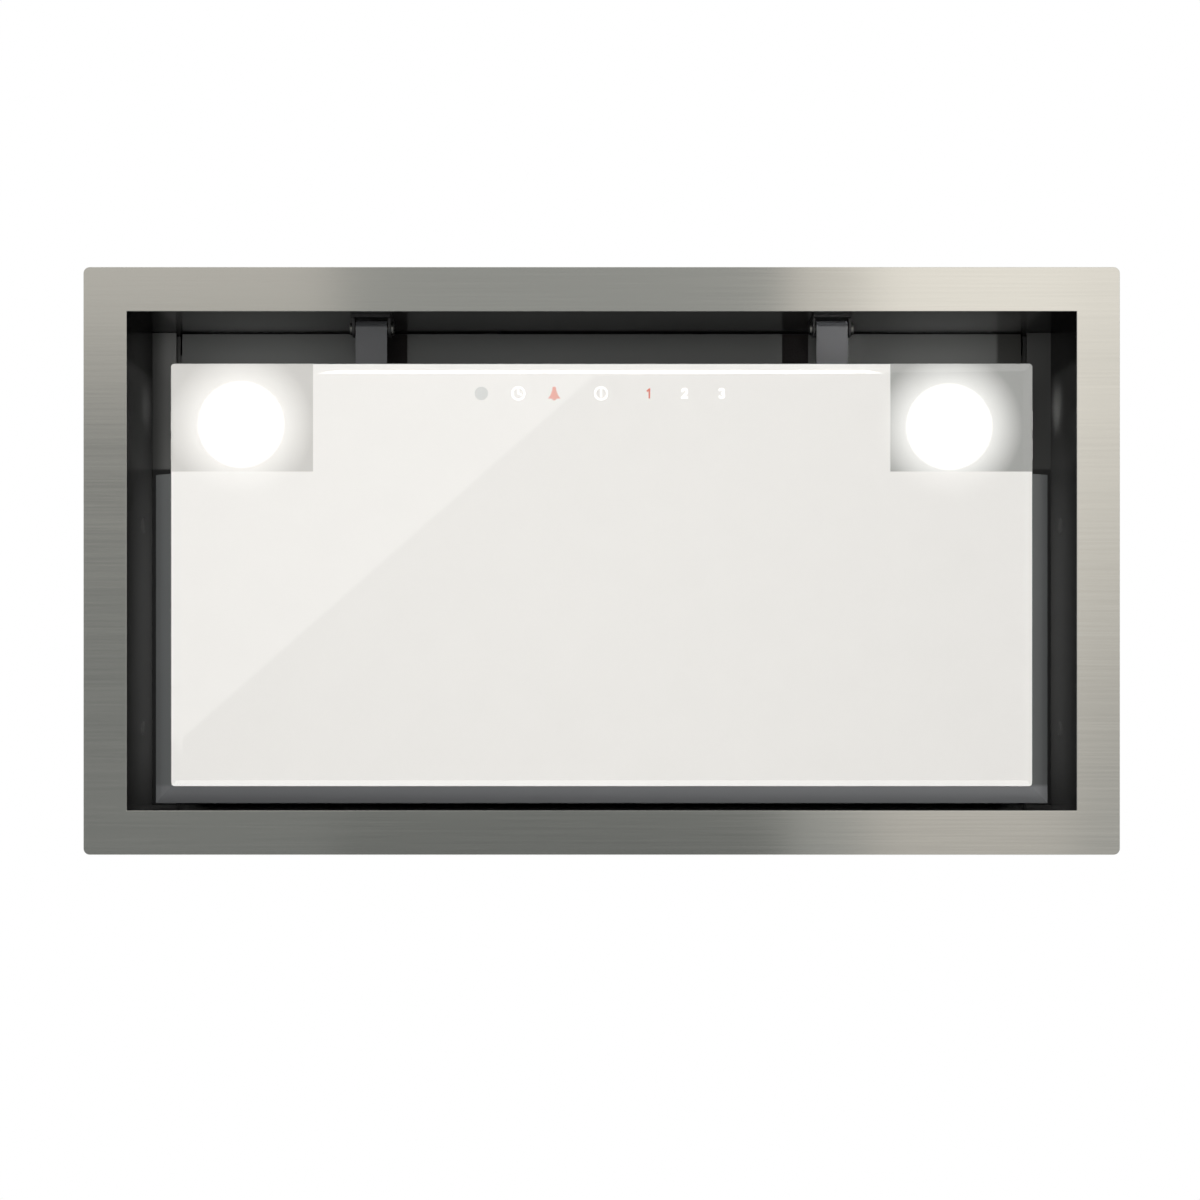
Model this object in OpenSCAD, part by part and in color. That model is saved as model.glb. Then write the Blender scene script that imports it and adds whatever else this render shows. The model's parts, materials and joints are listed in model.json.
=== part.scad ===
// Built-in range hood for a cabinet cut-out, in millimetres.
// +Z is up as installed and -Y is the front. z = 0 is the underside of the steel flange that
// shows below the cabinet, and x = y = 0 is the middle of the flange.

/* [Flange] */
// Reach of the steel flange beside the opening
flange_side = 20.5; // [14:0.5:50]
// Reach of the steel flange in front of the opening and behind it
flange_front = 21; // [15:0.5:40]
// Thickness of the flange sheet
flange_t = 1.2; // [0.8:0.1:1.5]
// Radius of the flange corners
flange_r = 3; // [1:0.5:8]
// Height of the upturned lip that holds the casing, above z = 0
lip_h = 14; // [8:1:22]
// Thickness of the upturned lip
lip_t = 1; // [0.8:0.1:1.5]

/* [Casing] */
// Inside width of the casing and of the flange opening
casing_w = 451; // [430:1:520]
// Inside depth of the casing and of the flange opening
casing_d = 237; // [234:1:260]
// Height of the casing above z = 0
casing_h = 240; // [236:1:270]
// Thickness of the casing sheets
sheet = 1; // [0.8:0.1:1.5]
// Width of the folded welding tabs of the casing sheets
tab_w = 10; // [6:1:14]
// Height of the cabinet screw holes above z = 0
wall_hole_z = 40; // [30:1:50]
// Distance between the two cabinet screw holes of one side
wall_hole_pitch = 100; // [60:1:120]
// Distance of the middle of those two holes behind the middle of the casing
wall_hole_back = 30; // [0:1:40]
// Diameter of the cabinet screw holes
wall_hole_d = 5; // [4:0.1:6]

/* [Suction plate] */
// Height of the underside of the suction plate, seen as the ceiling of the hood
ceiling_z = 60; // [56:1:66]
// Width of the side rails that carry the suction plate
rail_w = 12; // [10:0.5:14]
// Height of the side rails
rail_h = 12; // [8:1:16]
// Slot between the suction plate and each side rail
rail_slot = 3; // [2:0.5:4]
// Gap between the suction plate and the front and rear walls
plate_gap = 3.7; // [2:0.1:5]
// Distance of the outer screws of the suction plate from its middle
lug_pitch = 80; // [60:1:90]

/* [Glass panel] */
// Gap between each side wall and the glass
side_gap = 20.5; // [16:0.5:25]
// Gap between the rear wall and the glass
rear_gap = 11.5; // [11.5:0.5:16]
// Thickness of the glass
glass_t = 4; // [3:0.5:5]
// Height of the underside of the glass above z = 0
glass_z = 1; // [0.5:0.1:1.5]
// Gap from the front wall to the front edge of the glass
front_gap = 24.5; // [23:0.5:26]
// Width of the bevel round the underside of the glass
bevel_w = 2.5; // [1:0.1:4]
// Depth of the bevel round the underside of the glass
bevel_h = 1; // [0.5:0.1:2]
// Radius of the glass corners
glass_r = 2; // [1:0.5:5]

/* [Panel tray] */
// Thickness of the tray sheet
tray_t = 1; // [0.8:0.1:1.2]
// Reach of the sloping rim beyond the sides of the glass
rim_side = 9; // [6:0.5:9]
// Reach of the sloping rim beyond the rear edge of the glass
rim_rear = 8.5; // [6:0.5:8.5]
// Height of the sloping part of the rim
rim_rise = 7; // [5:0.5:8]
// Height of the tray's edge above the top of the glass
rim_h = 15; // [13:0.5:18]
// Gap between the tray's front return and the hinge arms that pass over it
return_gap = 1; // [0.5:0.1:2]
// Width of the rear flange that the magnets hold
keeper_w = 9; // [8:0.5:14]

/* [Hinge] */
// Distance of each hinge arm from the lamp notch of the tray
arm_in = 26.5; // [20:0.5:30]
// Width of a hinge arm
arm_w = 15; // [12:0.5:18]
// Thickness of a hinge arm
arm_t = 2; // [1.5:0.1:2.5]
// Distance of the hinge axis from the front wall
axis_gap = 6; // [5.5:0.1:7]
// Height of the hinge axis above z = 0
axis_z = 15; // [14.5:0.1:16]
// Radius of the hinge pins
pin_r = 2; // [1.5:0.1:2.2]
// Radius of the rolled eye of a hinge arm
eye_r = 4; // [3.5:0.1:4.2]
// Radial clearance of a pin in its running bore
run_fit = 0.06; // [0.03:0.01:0.09]
// Side clearance between an arm and the ears of its bracket
ear_gap = 0.5; // [0.3:0.1:1]
// Thickness of the bracket sheet
ear_t = 1.2; // [1:0.1:1.5]

/* [Lamps] */
// Distance of each lamp from the side wall
lamp_side = 55.5; // [53:0.5:60]
// Distance of the lamps from the front wall
lamp_gap = 52; // [50:0.5:54]
// Radius of the lamp lens
lens_r = 20; // [16:0.5:20.5]
// Width of a lamp housing
pod_w = 58; // [54:0.5:60]
// Depth of a lamp housing
pod_d = 47; // [46:0.5:48]
// Wall of a lamp housing
pod_t = 1.2; // [0.8:0.1:2]
// Clearance between a lamp housing and the notch of the tray behind it
notch_gap = 1; // [1:0.1:2]
// Clearance between a lamp bezel and the glass below it
lamp_clear = 2.3; // [1.5:0.1:4]

/* [Touch keys] */
// Width of the touch board
touch_w = 150; // [120:1:160]
// Depth of the touch board
touch_d = 19; // [15:0.5:20]
// Distance of the middle of the touch board from the front edge of the glass
touch_in = 14; // [13:0.5:16]
// Height of the touch housing above the tray
touch_h = 12; // [8:0.5:16]

/* [Grease filter] */
// Distance of the filter opening from each side wall
filter_side = 37.5; // [32:0.5:70]
// Distance of the filter opening from the rear wall
filter_rear = 22.5; // [20:0.5:45]
// Thickness of the grease filter
filter_t = 9; // [7:0.5:12]
// Distance of the filter opening from the front wall
filter_gap = 78.5; // [77:0.5:80]
// Clearance round the filter in its opening
filter_fit = 1; // [0.8:0.1:1.5]
// Width of the filter's frame rails
filter_rail = 10; // [8:0.5:14]
// Distance of each filter clip from the middle
clip_x = 60; // [40:1:90]

/* [Catches] */
// Distance of each catch magnet from the middle
magnet_x = 120; // [90:1:150]
// Gap between a magnet and the tray's rear flange when the panel is shut
magnet_gap = 0.3; // [0.2:0.1:0.6]

/* [Blower] */
// Radius of the impeller
wheel_r = 60; // [56:0.5:62]
// Distance of the blower axis from the front wall
blower_gap = 90.5; // [88:0.5:96]
// Distance of the blower axis below the top of the casing
blower_drop = 82; // [78:0.5:84]
// Inside radius of the blade rows
blade_in_r = 49; // [47:0.5:51]
// Gap between each end of the impeller and the side of the scroll
wheel_clear = 5; // [4:0.5:8]
// Blades in each row
blade_n = 36; // [24:1:40]
// Thickness of a blade
blade_t = 1; // [0.8:0.1:1.4]
// Angle by which a blade's tip leads its root
blade_lead = 9; // [5:0.5:12]
// Width of the scroll housing
scroll_w = 110; // [106:1:120]
// Wall of the scroll housing
scroll_t = 2; // [1.5:0.1:2.5]
// Gap between the impeller and the tongue of the scroll
tongue_gap = 6; // [5:0.5:8]
// Gap between the impeller and the scroll at its widest
scroll_gap = 28; // [24:0.5:30]
// Angle of the tongue above the rear of the scroll
tongue_a = 72; // [68:1:76]
// Radius of the inlet throats
inlet_r = 46; // [42:0.5:47]
// Radius of the motor
motor_r = 35; // [30:0.5:36]
// Radius of the motor shaft
shaft_r = 4; // [3:0.1:5]

/* [Duct collar] */
// Outside radius of the duct collar
collar_r = 75; // [74:0.5:78]
// Wall of the duct collar
collar_t = 1.5; // [1.2:0.1:2]
// Height of the duct collar
collar_h = 45; // [40:1:60]
// Reach of the collar's base flange
collar_flange = 9; // [8:0.5:12]
// Height of the flap seat above the casing
flap_seat_h = 10; // [6:0.5:14]
// Thickness of the damper flaps
flap_t = 1.2; // [1:0.1:2]
// Radius of the damper pin
damper_pin_r = 1.5; // [1.2:0.1:2]

/* [Electronics] */
// Width of the electronics box
ebox_w = 100; // [90:1:110]
// Depth of the electronics box
ebox_d = 90; // [84:1:110]
// Height of the electronics box with its lid
ebox_h = 30; // [28:1:36]
// Gap between the collar's base flange and the electronics box
ebox_gap = 16; // [10:1:25]
// Distance of the electronics box from the front wall
ebox_front = 58.5; // [50:0.5:80]
// Wall of the electronics box
ebox_t = 2; // [1.5:0.1:2.5]

/* [Hidden] */
$fn = 96;
far = 600;
lap = 1;
seat_gap = 0.2;
screw_fit = 0.1;
small_r = 1.5;
small_head_r = 2.9;
small_head_h = 1.8;
big_r = 1.75;
big_head_r = 3.4;
big_head_h = 2.2;

half_w = casing_w / 2;
half_d = casing_d / 2;
flange_w = casing_w + 2 * flange_side;
flange_d = casing_d + 2 * flange_front;
front_y = -half_d;
top_z = casing_h - sheet;
ceiling_top = ceiling_z + sheet;
rail_top = ceiling_z + rail_h;
tab_low = 6;
tab_high = 14;
top_tab_h = 10;
top_tab_gap = 2;

plate_x = half_w - rail_w - rail_slot;
plate_y = half_d - plate_gap;
lug_inset = 6;
plate_turn_drop = 2;
lug_w = rail_slot + rail_w * 0.7;
lug_screw_x = half_w - rail_w * 0.6;
lug_screw_y = [-lug_pitch, 0, lug_pitch];

glass_x = half_w - side_gap;
glass_w = 2 * glass_x;
glass_y0 = front_y + front_gap;
glass_y1 = half_d - rear_gap;
glass_d = glass_y1 - glass_y0;
glass_top = glass_z + glass_t;

tray_tuck = 1;
tray_x0 = glass_x - tray_tuck;
tray_x1 = glass_x + rim_side;
tray_y0 = glass_y0 + tray_tuck;
tray_y1 = glass_y1 + rim_rear;
tray_top = glass_top + rim_h;
tray_floor = glass_top + tray_t;

axis_y = front_y + axis_gap;
arm_high = axis_z - eye_r;
arm_level_l = 4;
arm_step_l = 7;
arm_foot_l = 28;
arm_screw_l = 20;
arm_screw_edge = 3.5;
arm_drop_y = tray_y0 + arm_level_l;
arm_foot_y = arm_drop_y + arm_step_l;
arm_end_y = arm_foot_y + arm_foot_l;
arm_screw_y = arm_foot_y + arm_screw_l;
arm_screw_x = arm_w / 2 - arm_screw_edge;
ear_x = arm_w / 2 + ear_gap;
base_below = 3;
base_above = 16;
base_screw_drop = 6;
base_screw_x = 5;
base_z0 = axis_z - eye_r - base_below;
base_z1 = axis_z + eye_r + base_above;
base_screw_z = base_z1 - base_screw_drop;
pin_head = 1;
pin_head_r = pin_r + 0.9;

bezel_t = 1.2;
bezel_w = 3;
bezel_seat = 1.5;
bezel_h = 5;
lamp_x = half_w - lamp_side;
lamp_y = front_y + lamp_gap;
pod_z = glass_top + lamp_clear + bezel_t;
bezel_r = lens_r + bezel_w;
bezel_hole_r = lens_r + bezel_seat;
pod_tab = 8;
pod_tab_w = 24;
tongue_gap_x = 4;
notch_y = lamp_y + pod_d / 2 + notch_gap;
tongue_x = lamp_x - pod_w / 2 - tongue_gap_x;
arm_x = tongue_x - arm_in;

touch_y = glass_y0 + touch_in;
touch_wall = 1.5;
touch_cut = 0.5;
touch_margin = touch_cut + touch_wall + 1;
key_pitch = 24;
key_size = 8;
vent_pitch = 16;
vent_r = 1.2;
vent_drop = 4;

filter_y0 = front_y + filter_gap;
filter_y1 = half_d - filter_rear;
filter_d = filter_y1 - filter_y0 - 2 * filter_fit;
filter_x = half_w - filter_side;
filter_w = 2 * (filter_x - filter_fit);
filter_z = ceiling_z + 0.5;
filter_skin = 1.2;
filter_tongue = 6;
filter_tongue_in = 12;
filter_bar = 3;

magnet_y = tray_y1 - keeper_w / 2 - 0.5;
magnet_size = [20, 7, 5];
post_w = 16;
post_t = 1.5;
post_y0 = -3.5;
post_y1 = 3;
post_foot = 4;

clip_w = 14;
clip_t = 0.5;
clip_foot = 12;
clip_heel = 3;
clip_nose = 3;
clip_drop = 2;

blower_y = front_y + blower_gap;
blower_z = casing_h - blower_drop;
scroll_r0 = wheel_r + tongue_gap;
scroll_r1 = wheel_r + scroll_gap;
scroll_x = scroll_w / 2;
outlet_y0 = scroll_r0 * cos(tongue_a);
outlet_y1 = scroll_r1;
outlet_mid_y = blower_y + (outlet_y0 + outlet_y1) / 2;
outlet_z = top_z - blower_z;
scroll_lip = 8;
disc_t = 2;
ring_t = 2;
blade_l = scroll_x - scroll_t - wheel_clear - ring_t - disc_t / 2;
hub_r = 12;
hub_l = 14;
hub_hole_r = 6;
mouth_r = 5;
mouth_t = 1.2;
mouth_flange = 5;
hole_r = inlet_r + mouth_r + 0.5;
bush_r = 4.5;
bush_t = 3;
bush_ring_r = hole_r + mouth_flange + bush_r + 0.5;
bush_angles = [80, 200, 320];
motor_x0 = 8;
motor_cap = 3;
motor_cap_l = 10;
motor_boss_r = shaft_r + 8;
motor_boss_l = 5;
motor_slot = [10, 2.5, 5];
bracket_x = scroll_x + bush_t;
bracket_t = 2;
bracket_arm_w = 10;
bracket_pad_r = 6;

collar_in_r = collar_r - collar_t;
collar_y = outlet_mid_y;
collar_screw_angles = [45, 135, 225, 315];
collar_screw_r = collar_r + collar_flange / 2;
flap_z = casing_h + flap_seat_h + 0.3;
flap_r = collar_in_r - 1.2;
collar_base_t = 2;
collar_fit = 0.1;
seat_w = 5;
seat_t = 1.5;
damper_eye_r = damper_pin_r + 1.5;
damper_z = flap_z + damper_eye_r;
damper_edge = damper_eye_r + 0.5;
eye_pitch = 22;
eye_l = 20;

ebox_x = collar_r + collar_flange + ebox_gap + ebox_w / 2;
ebox_y = front_y + ebox_front + ebox_d / 2;
ebox_lid_t = 2;
ebox_rim_z = casing_h + ebox_h - ebox_lid_t;
board_z = casing_h + ebox_t + 4;
gland_r = 8;
gland_z = casing_h + ebox_h / 2;
gland_x = ebox_x - ebox_w / 4;
ebox_post_r = 3.5;
ebox_post_in = 8;
board_t = 1.6;
board_gap = 1;
board_end_gap = 10;
board_side_gap = 29;
sink = 0.2;
part_h = 14;
gland_bore_r = 4;
gland_inner_l = 6;
gland_outer_l = 8;
gland_nut_l = 5;
gland_hex_l = 6;

steel = [0.66, 0.65, 0.62];
zinc = [0.48, 0.49, 0.50];
dark = [0.16, 0.17, 0.17];
grey = [0.36, 0.38, 0.38];
bright = [0.78, 0.79, 0.80];
white_glass = [0.93, 0.92, 0.90];
black = [0.10, 0.10, 0.11];
green = [0.10, 0.30, 0.18];

// An outline given as (y, z), extruded along X
module along_x(x0, x1) {
    translate([x0, 0, 0])
        rotate([90, 0, 90])
            linear_extrude(x1 - x0)
                children();
}

// An outline given as (x, z), extruded along Y
module along_y(y0, y1) {
    translate([0, y1, 0])
        rotate([90, 0, 0])
            linear_extrude(y1 - y0)
                children();
}

// A box given by its two corners
module block(a, b) {
    translate(a)
        cube(b - a);
}

// A part mirrored to the side s, which is -1 or 1
module side(s) {
    mirror([s < 0 ? 1 : 0, 0, 0])
        children();
}

module both_sides() {
    for (s = [-1, 1])
        side(s) children();
}

module rounded_rect(w, d, r) {
    square([w - 2 * r, d], center = true);
    square([w, d - 2 * r], center = true);
    for (sx = [-1, 1], sy = [-1, 1])
        translate([sx * (w / 2 - r), sy * (d / 2 - r)]) circle(r);
}

module rect_ring(w, d, t) {
    difference() {
        square([w + 2 * t, d + 2 * t], center = true);
        square([w, d], center = true);
    }
}

// A pan-head screw: its head rests on z = 0 and its shank runs down
module screw(r, l, head_r, head_h) {
    translate([0, 0, -l])
        cylinder(h = l + lap / 2, r = r);
    difference() {
        rotate_extrude()
            polygon([
                [0, 0], [head_r, 0], [head_r, head_h * 0.5], [head_r * 0.7, head_h], [0, head_h]
            ]);
        for (a = [0, 90])
            translate([0, 0, head_h])
                rotate([0, 0, a])
                    cube([head_r * 1.1, head_r * 0.25, head_h * 0.9], center = true);
    }
}

// Flange and casing

module trim_frame() {
    color(steel)
        difference() {
            union() {
                linear_extrude(flange_t)
                    rounded_rect(flange_w, flange_d, flange_r);
                linear_extrude(lip_h)
                    rect_ring(casing_w + 2 * sheet, casing_d + 2 * sheet, lip_t);
            }
            translate([0, 0, -lap])
                linear_extrude(flange_t + 2 * lap)
                    square([casing_w, casing_d], center = true);
        }
}

// Front and rear walls stand between the side walls, with a welding tab along each side wall
module end_wall() {
    block([-half_w, -half_d - sheet, flange_t], [half_w, -half_d, top_z]);
    both_sides()
        block([half_w - sheet, -half_d - sheet, rail_top + tab_low],
              [half_w, -half_d + tab_w, top_z - tab_high]);
}

module front_wall() {
    color(dark)
        difference() {
            end_wall();
            both_sides() hinge_base_holes();
        }
}

module rear_wall() {
    color(dark)
        mirror([0, 1, 0]) end_wall();
}

module side_wall() {
    color(dark)
        difference() {
            block([half_w, -half_d - sheet, flange_t], [half_w + sheet, half_d + sheet, top_z]);
            for (y = [-1, 1])
                translate([half_w - lap, y * wall_hole_pitch / 2 + wall_hole_back, wall_hole_z])
                    rotate([0, 90, 0]) cylinder(h = sheet + 2 * lap, d = wall_hole_d);
        }
}

module outlet_hole() {
    block([-scroll_x + scroll_t, blower_y + outlet_y0, top_z - lap],
          [scroll_x - scroll_t, blower_y + outlet_y1, casing_h + lap]);
}

module collar_screw_places(z) {
    for (a = collar_screw_angles)
        translate([collar_screw_r * cos(a), collar_y + collar_screw_r * sin(a), z]) children();
}

module top_plate() {
    color(zinc)
        difference() {
            union() {
                block([-half_w - sheet, -half_d - sheet, top_z], [half_w + sheet, half_d + sheet, casing_h]);
                both_sides()
                    block([half_w - sheet, -half_d + tab_w + top_tab_gap, top_z - top_tab_h],
                          [half_w, half_d - tab_w - top_tab_gap, top_z + sheet / 2]);
            }
            outlet_hole();
            collar_screw_places(top_z - lap)
                cylinder(h = sheet + 2 * lap, r = big_r + screw_fit);
        }
}

// Ceiling of the hood

module side_rail() {
    color(zinc)
        difference() {
            along_y(-half_d + seat_gap, half_d - seat_gap)
                difference() {
                    translate([half_w - rail_w, ceiling_z])
                        square([rail_w, rail_h]);
                    translate([half_w - rail_w - lap, ceiling_z + sheet])
                        square([rail_w - sheet + lap, rail_h - 2 * sheet]);
                }
            for (y = lug_screw_y)
                translate([lug_screw_x, y, rail_top - 2 * lap])
                    cylinder(h = 3 * lap, r = big_r + screw_fit);
        }
}

module lamp_screw_places(z) {
    for (s = [-1, 1], d = [-1, 1])
        translate([s * lamp_x + d * (pod_w + pod_tab) / 2, lamp_y, z]) children();
}

module suction_plate() {
    color(zinc)
        difference() {
            union() {
                block([-plate_x, -plate_y, ceiling_z], [plate_x, plate_y, ceiling_top]);
                both_sides() {
                    block([plate_x - sheet, -plate_y, ceiling_z], [plate_x, plate_y, rail_top + sheet]);
                    block([plate_x - sheet, -plate_y + lug_inset, rail_top],
                          [plate_x + lug_w, plate_y - lug_inset, rail_top + sheet]);
                }
                for (s = [-1, 1])
                    mirror([0, s < 0 ? 1 : 0, 0])
                        block([-plate_x, plate_y - sheet, ceiling_z],
                              [plate_x, plate_y, rail_top - plate_turn_drop]);
            }
            block([-filter_x, filter_y0, ceiling_z - lap], [filter_x, filter_y1, ceiling_top + lap]);
            for (s = [-1, 1], y = lug_screw_y)
                translate([s * lug_screw_x, y, rail_top - lap])
                    cylinder(h = sheet + 2 * lap, r = big_r + screw_fit);
            lamp_screw_places(ceiling_z - lap)
                cylinder(h = sheet + 2 * lap, r = small_r + screw_fit);
        }
}

module plate_screws() {
    color(bright)
        for (s = [-1, 1], y = lug_screw_y)
            translate([s * lug_screw_x, y, rail_top + sheet])
                screw(big_r, 6, big_head_r, big_head_h);
}

// Hinge of the glass panel

module hinge_base_holes() {
    for (d = [-1, 1])
        translate([arm_x + d * base_screw_x, front_y - sheet - lap, base_screw_z])
            rotate([-90, 0, 0]) cylinder(h = sheet + ear_t + 2 * lap, r = small_r + screw_fit);
}

// A folded U: its base lies on the front wall and its two ears hold the pin
module hinge_bracket() {
    color(dark)
        difference() {
            union() {
                block([arm_x - ear_x - ear_t, front_y, base_z0],
                      [arm_x + ear_x + ear_t, front_y + ear_t, base_z1]);
                for (x = [-ear_x - ear_t, ear_x])
                    along_x(arm_x + x, arm_x + x + ear_t) {
                        translate([front_y, axis_z - eye_r])
                            square([axis_gap, 2 * eye_r]);
                        translate([axis_y, axis_z]) circle(eye_r);
                    }
            }
            translate([arm_x - far / 2, axis_y, axis_z])
                rotate([0, 90, 0]) cylinder(h = far, r = pin_r + run_fit);
            hinge_base_holes();
        }
}

// Each pin has a flared head at both ends, outside the ears
module hinge_pins() {
    pin_l = 2 * (ear_x + ear_t + seat_gap);
    color(bright)
        for (s = [-1, 1])
            translate([s * arm_x, axis_y, axis_z])
                rotate([0, 90, 0]) {
                    cylinder(h = pin_l + pin_head, r = pin_r, center = true);
                    for (d = [-1, 1])
                        translate([0, 0, d * (pin_l + pin_head) / 2])
                            cylinder(h = pin_head, r = pin_head_r, center = true);
                }
}

module hinge_screws() {
    color(bright)
        for (s = [-1, 1], d = [-1, 1])
            translate([s * arm_x + d * base_screw_x, front_y + ear_t, base_screw_z])
                rotate([-90, 0, 0])
                    screw(small_r, ear_t + sheet + 1, small_head_r, small_head_h);
}

module arm_screw_places(z) {
    for (d = [-1, 1])
        translate([arm_x + d * arm_screw_x, arm_screw_y, z]) children();
}

// A strap rolled round the pin, level over the gap, then stepped down to the tray
module hinge_arm() {
    color(grey)
        difference() {
            along_x(arm_x - arm_w / 2, arm_x + arm_w / 2) {
                polygon([
                    [axis_y, arm_high], [arm_drop_y, arm_high], [arm_foot_y, tray_floor],
                    [arm_end_y, tray_floor], [arm_end_y, tray_floor + arm_t],
                    [arm_foot_y + arm_t / 2, tray_floor + arm_t], [arm_drop_y + arm_t / 2, arm_high + arm_t],
                    [axis_y, arm_high + arm_t]
                ]);
                translate([axis_y, axis_z]) circle(eye_r);
            }
            translate([0, axis_y, axis_z])
                rotate([0, 90, 0]) cylinder(h = far, r = pin_r + run_fit);
            arm_screw_places(tray_floor - lap)
                cylinder(h = arm_t + 2 * lap, r = small_r + screw_fit);
        }
}

module arm_screws() {
    color(bright)
        both_sides()
            arm_screw_places(tray_floor + arm_t)
                screw(small_r, arm_t + tray_t * 0.9, small_head_r, small_head_h);
}

// Glass and its tray

function bevelled(a, b) = [
    [a, glass_top], [a, glass_z + bevel_h], [a + bevel_w, glass_z],
    [b - bevel_w, glass_z], [b, glass_z + bevel_h], [b, glass_top]
];

module glass_panel() {
    color(white_glass)
        intersection() {
            along_y(glass_y0 - lap, glass_y1 + lap)
                polygon(bevelled(-glass_x, glass_x));
            along_x(-glass_x - lap, glass_x + lap)
                polygon(bevelled(glass_y0, glass_y1));
            translate([0, (glass_y0 + glass_y1) / 2, 0])
                linear_extrude(glass_top + lap)
                    rounded_rect(glass_w, glass_d, glass_r);
        }
}

// Section of the tray's rim, from its foot at x0 to its upright edge at x1, set in by the sheet t
function rim_section(x0, x1, t) =
    let (slope = atan2(rim_rise, x1 - x0))
    [
        [x0 - t * tan(slope / 2), glass_top + t],
        [x1 - t, glass_top + rim_rise + t * tan((90 - slope) / 2)],
        [x1 - t, tray_top + t]
    ];
function flipped(points) = [for (i = [len(points) - 1 : -1 : 0]) [-points[i][0], points[i][1]]];

// The space inside a skin of thickness t, or the whole outer form where t is 0
module tray_form(t) {
    side_rim = rim_section(tray_x0, tray_x1, t);
    rear_rim = rim_section(glass_y1 - tray_tuck, tray_y1, t);
    intersection() {
        along_y(notch_y + t, tray_y1 + lap)
            polygon(concat(flipped(side_rim), side_rim));
        along_x(-far, far)
            polygon(concat([[notch_y, tray_top + t], [notch_y, glass_top + t]], rear_rim));
    }
    block([-tongue_x + t, tray_y0 + t, glass_top + t],
          [tongue_x - t, notch_y + 2 * t + lap, t > 0 ? tray_top + t : arm_high - return_gap]);
}

module panel_tray() {
    color(grey)
        difference() {
            union() {
                difference() {
                    tray_form(0);
                    tray_form(tray_t);
                }
                block([-tray_x1 + tray_t / 2, tray_y1 - keeper_w, tray_top - tray_t],
                      [tray_x1 - tray_t / 2, tray_y1 - tray_t / 2, tray_top]);
            }
            block([-touch_w / 2 - touch_cut, touch_y - touch_d / 2 - touch_cut, glass_top - lap],
                  [touch_w / 2 + touch_cut, touch_y + touch_d / 2 + touch_cut, tray_floor + lap]);
            both_sides()
                arm_screw_places(glass_top - lap)
                    cylinder(h = tray_t + 2 * lap, r = small_r + screw_fit);
        }
}

// Touch keys behind the glass: a board with its connector and four chips
module touch_board() {
    low = glass_top + board_t - sink;
    plug = [16, 8, 5.2];
    color(green) {
        block([-touch_w / 2, touch_y - touch_d / 2, glass_top],
              [touch_w / 2, touch_y + touch_d / 2, glass_top + board_t]);
        translate([-touch_w / 2 + 6, touch_y - plug[1] / 2, low])
            cube(plug);
        for (i = [-1.5 : 1 : 1.5])
            block([i * key_pitch - key_size / 2, touch_y - key_size / 2, low],
                  [i * key_pitch + key_size / 2, touch_y + key_size / 2, low + 1.4]);
    }
}

module touch_housing() {
    x = touch_w / 2 + touch_margin;
    y0 = tray_y0 + tray_t + 0.5;
    y1 = touch_y + touch_d / 2 + touch_margin;
    top = tray_floor + touch_h;
    color(black)
        difference() {
            block([-x, y0, tray_floor], [x, y1, top]);
            block([-x + touch_wall, y0 + touch_wall, tray_floor - lap],
                  [x - touch_wall, y1 - touch_wall, top - touch_wall]);
            for (i = [-3 : 3])
                translate([i * vent_pitch, y1 + lap, top - vent_drop])
                    rotate([90, 0, 0]) cylinder(h = touch_wall + 2 * lap, r = vent_r);
        }
}

// Catches that hold the rear edge of the panel

module magnet_posts() {
    top = ceiling_z;
    low = tray_top + magnet_gap + magnet_size[2];
    color(zinc)
        for (s = [-1, 1])
            translate([s * magnet_x, magnet_y, 0])
                along_x(-post_w / 2, post_w / 2)
                    polygon([
                        [post_y0 - post_foot, top], [post_y0 - post_foot, top - post_t],
                        [post_y1 - post_t, top - post_t], [post_y1 - post_t, low + post_t],
                        [post_y0, low + post_t], [post_y0, low], [post_y1, low], [post_y1, top]
                    ]);
}

module catch_magnets() {
    color(black)
        for (s = [-1, 1])
            translate([s * magnet_x, magnet_y, tray_top + magnet_gap + magnet_size[2] / 2])
                cube(magnet_size, center = true);
}

// Lamps

module lamp_housing() {
    color(bright)
        difference() {
            translate([lamp_x, lamp_y, 0]) {
                difference() {
                    block([-pod_w / 2, -pod_d / 2, pod_z], [pod_w / 2, pod_d / 2, ceiling_z]);
                    block([-pod_w / 2 + pod_t, -pod_d / 2 + pod_t, pod_z + pod_t],
                          [pod_w / 2 - pod_t, pod_d / 2 - pod_t, ceiling_z + lap]);
                    translate([0, 0, pod_z - lap])
                        cylinder(h = pod_t + 2 * lap, r = bezel_hole_r);
                }
                for (d = [-1, 1])
                    mirror([d < 0 ? 1 : 0, 0, 0])
                        block([pod_w / 2 - pod_t / 2, -pod_tab_w / 2, ceiling_z - pod_t],
                              [pod_w / 2 + pod_tab, pod_tab_w / 2, ceiling_z]);
            }
            lamp_screw_places(ceiling_z - 2 * lap)
                cylinder(h = 3 * lap, r = small_r + screw_fit);
        }
}

module lamp_bezel() {
    color(bright)
        translate([lamp_x, lamp_y, 0])
            rotate_extrude()
                polygon([
                    [lens_r - bezel_seat, pod_z - bezel_t * 0.4], [lens_r - 0.5, pod_z - bezel_t],
                    [bezel_r - 0.6, pod_z - bezel_t], [bezel_r, pod_z - bezel_t * 0.5], [bezel_r, pod_z],
                    [bezel_hole_r - seat_gap, pod_z], [bezel_hole_r - seat_gap, pod_z + bezel_h],
                    [lens_r + seat_gap, pod_z + bezel_h], [lens_r + seat_gap, pod_z],
                    [lens_r - bezel_seat, pod_z]
                ]);
}

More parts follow.
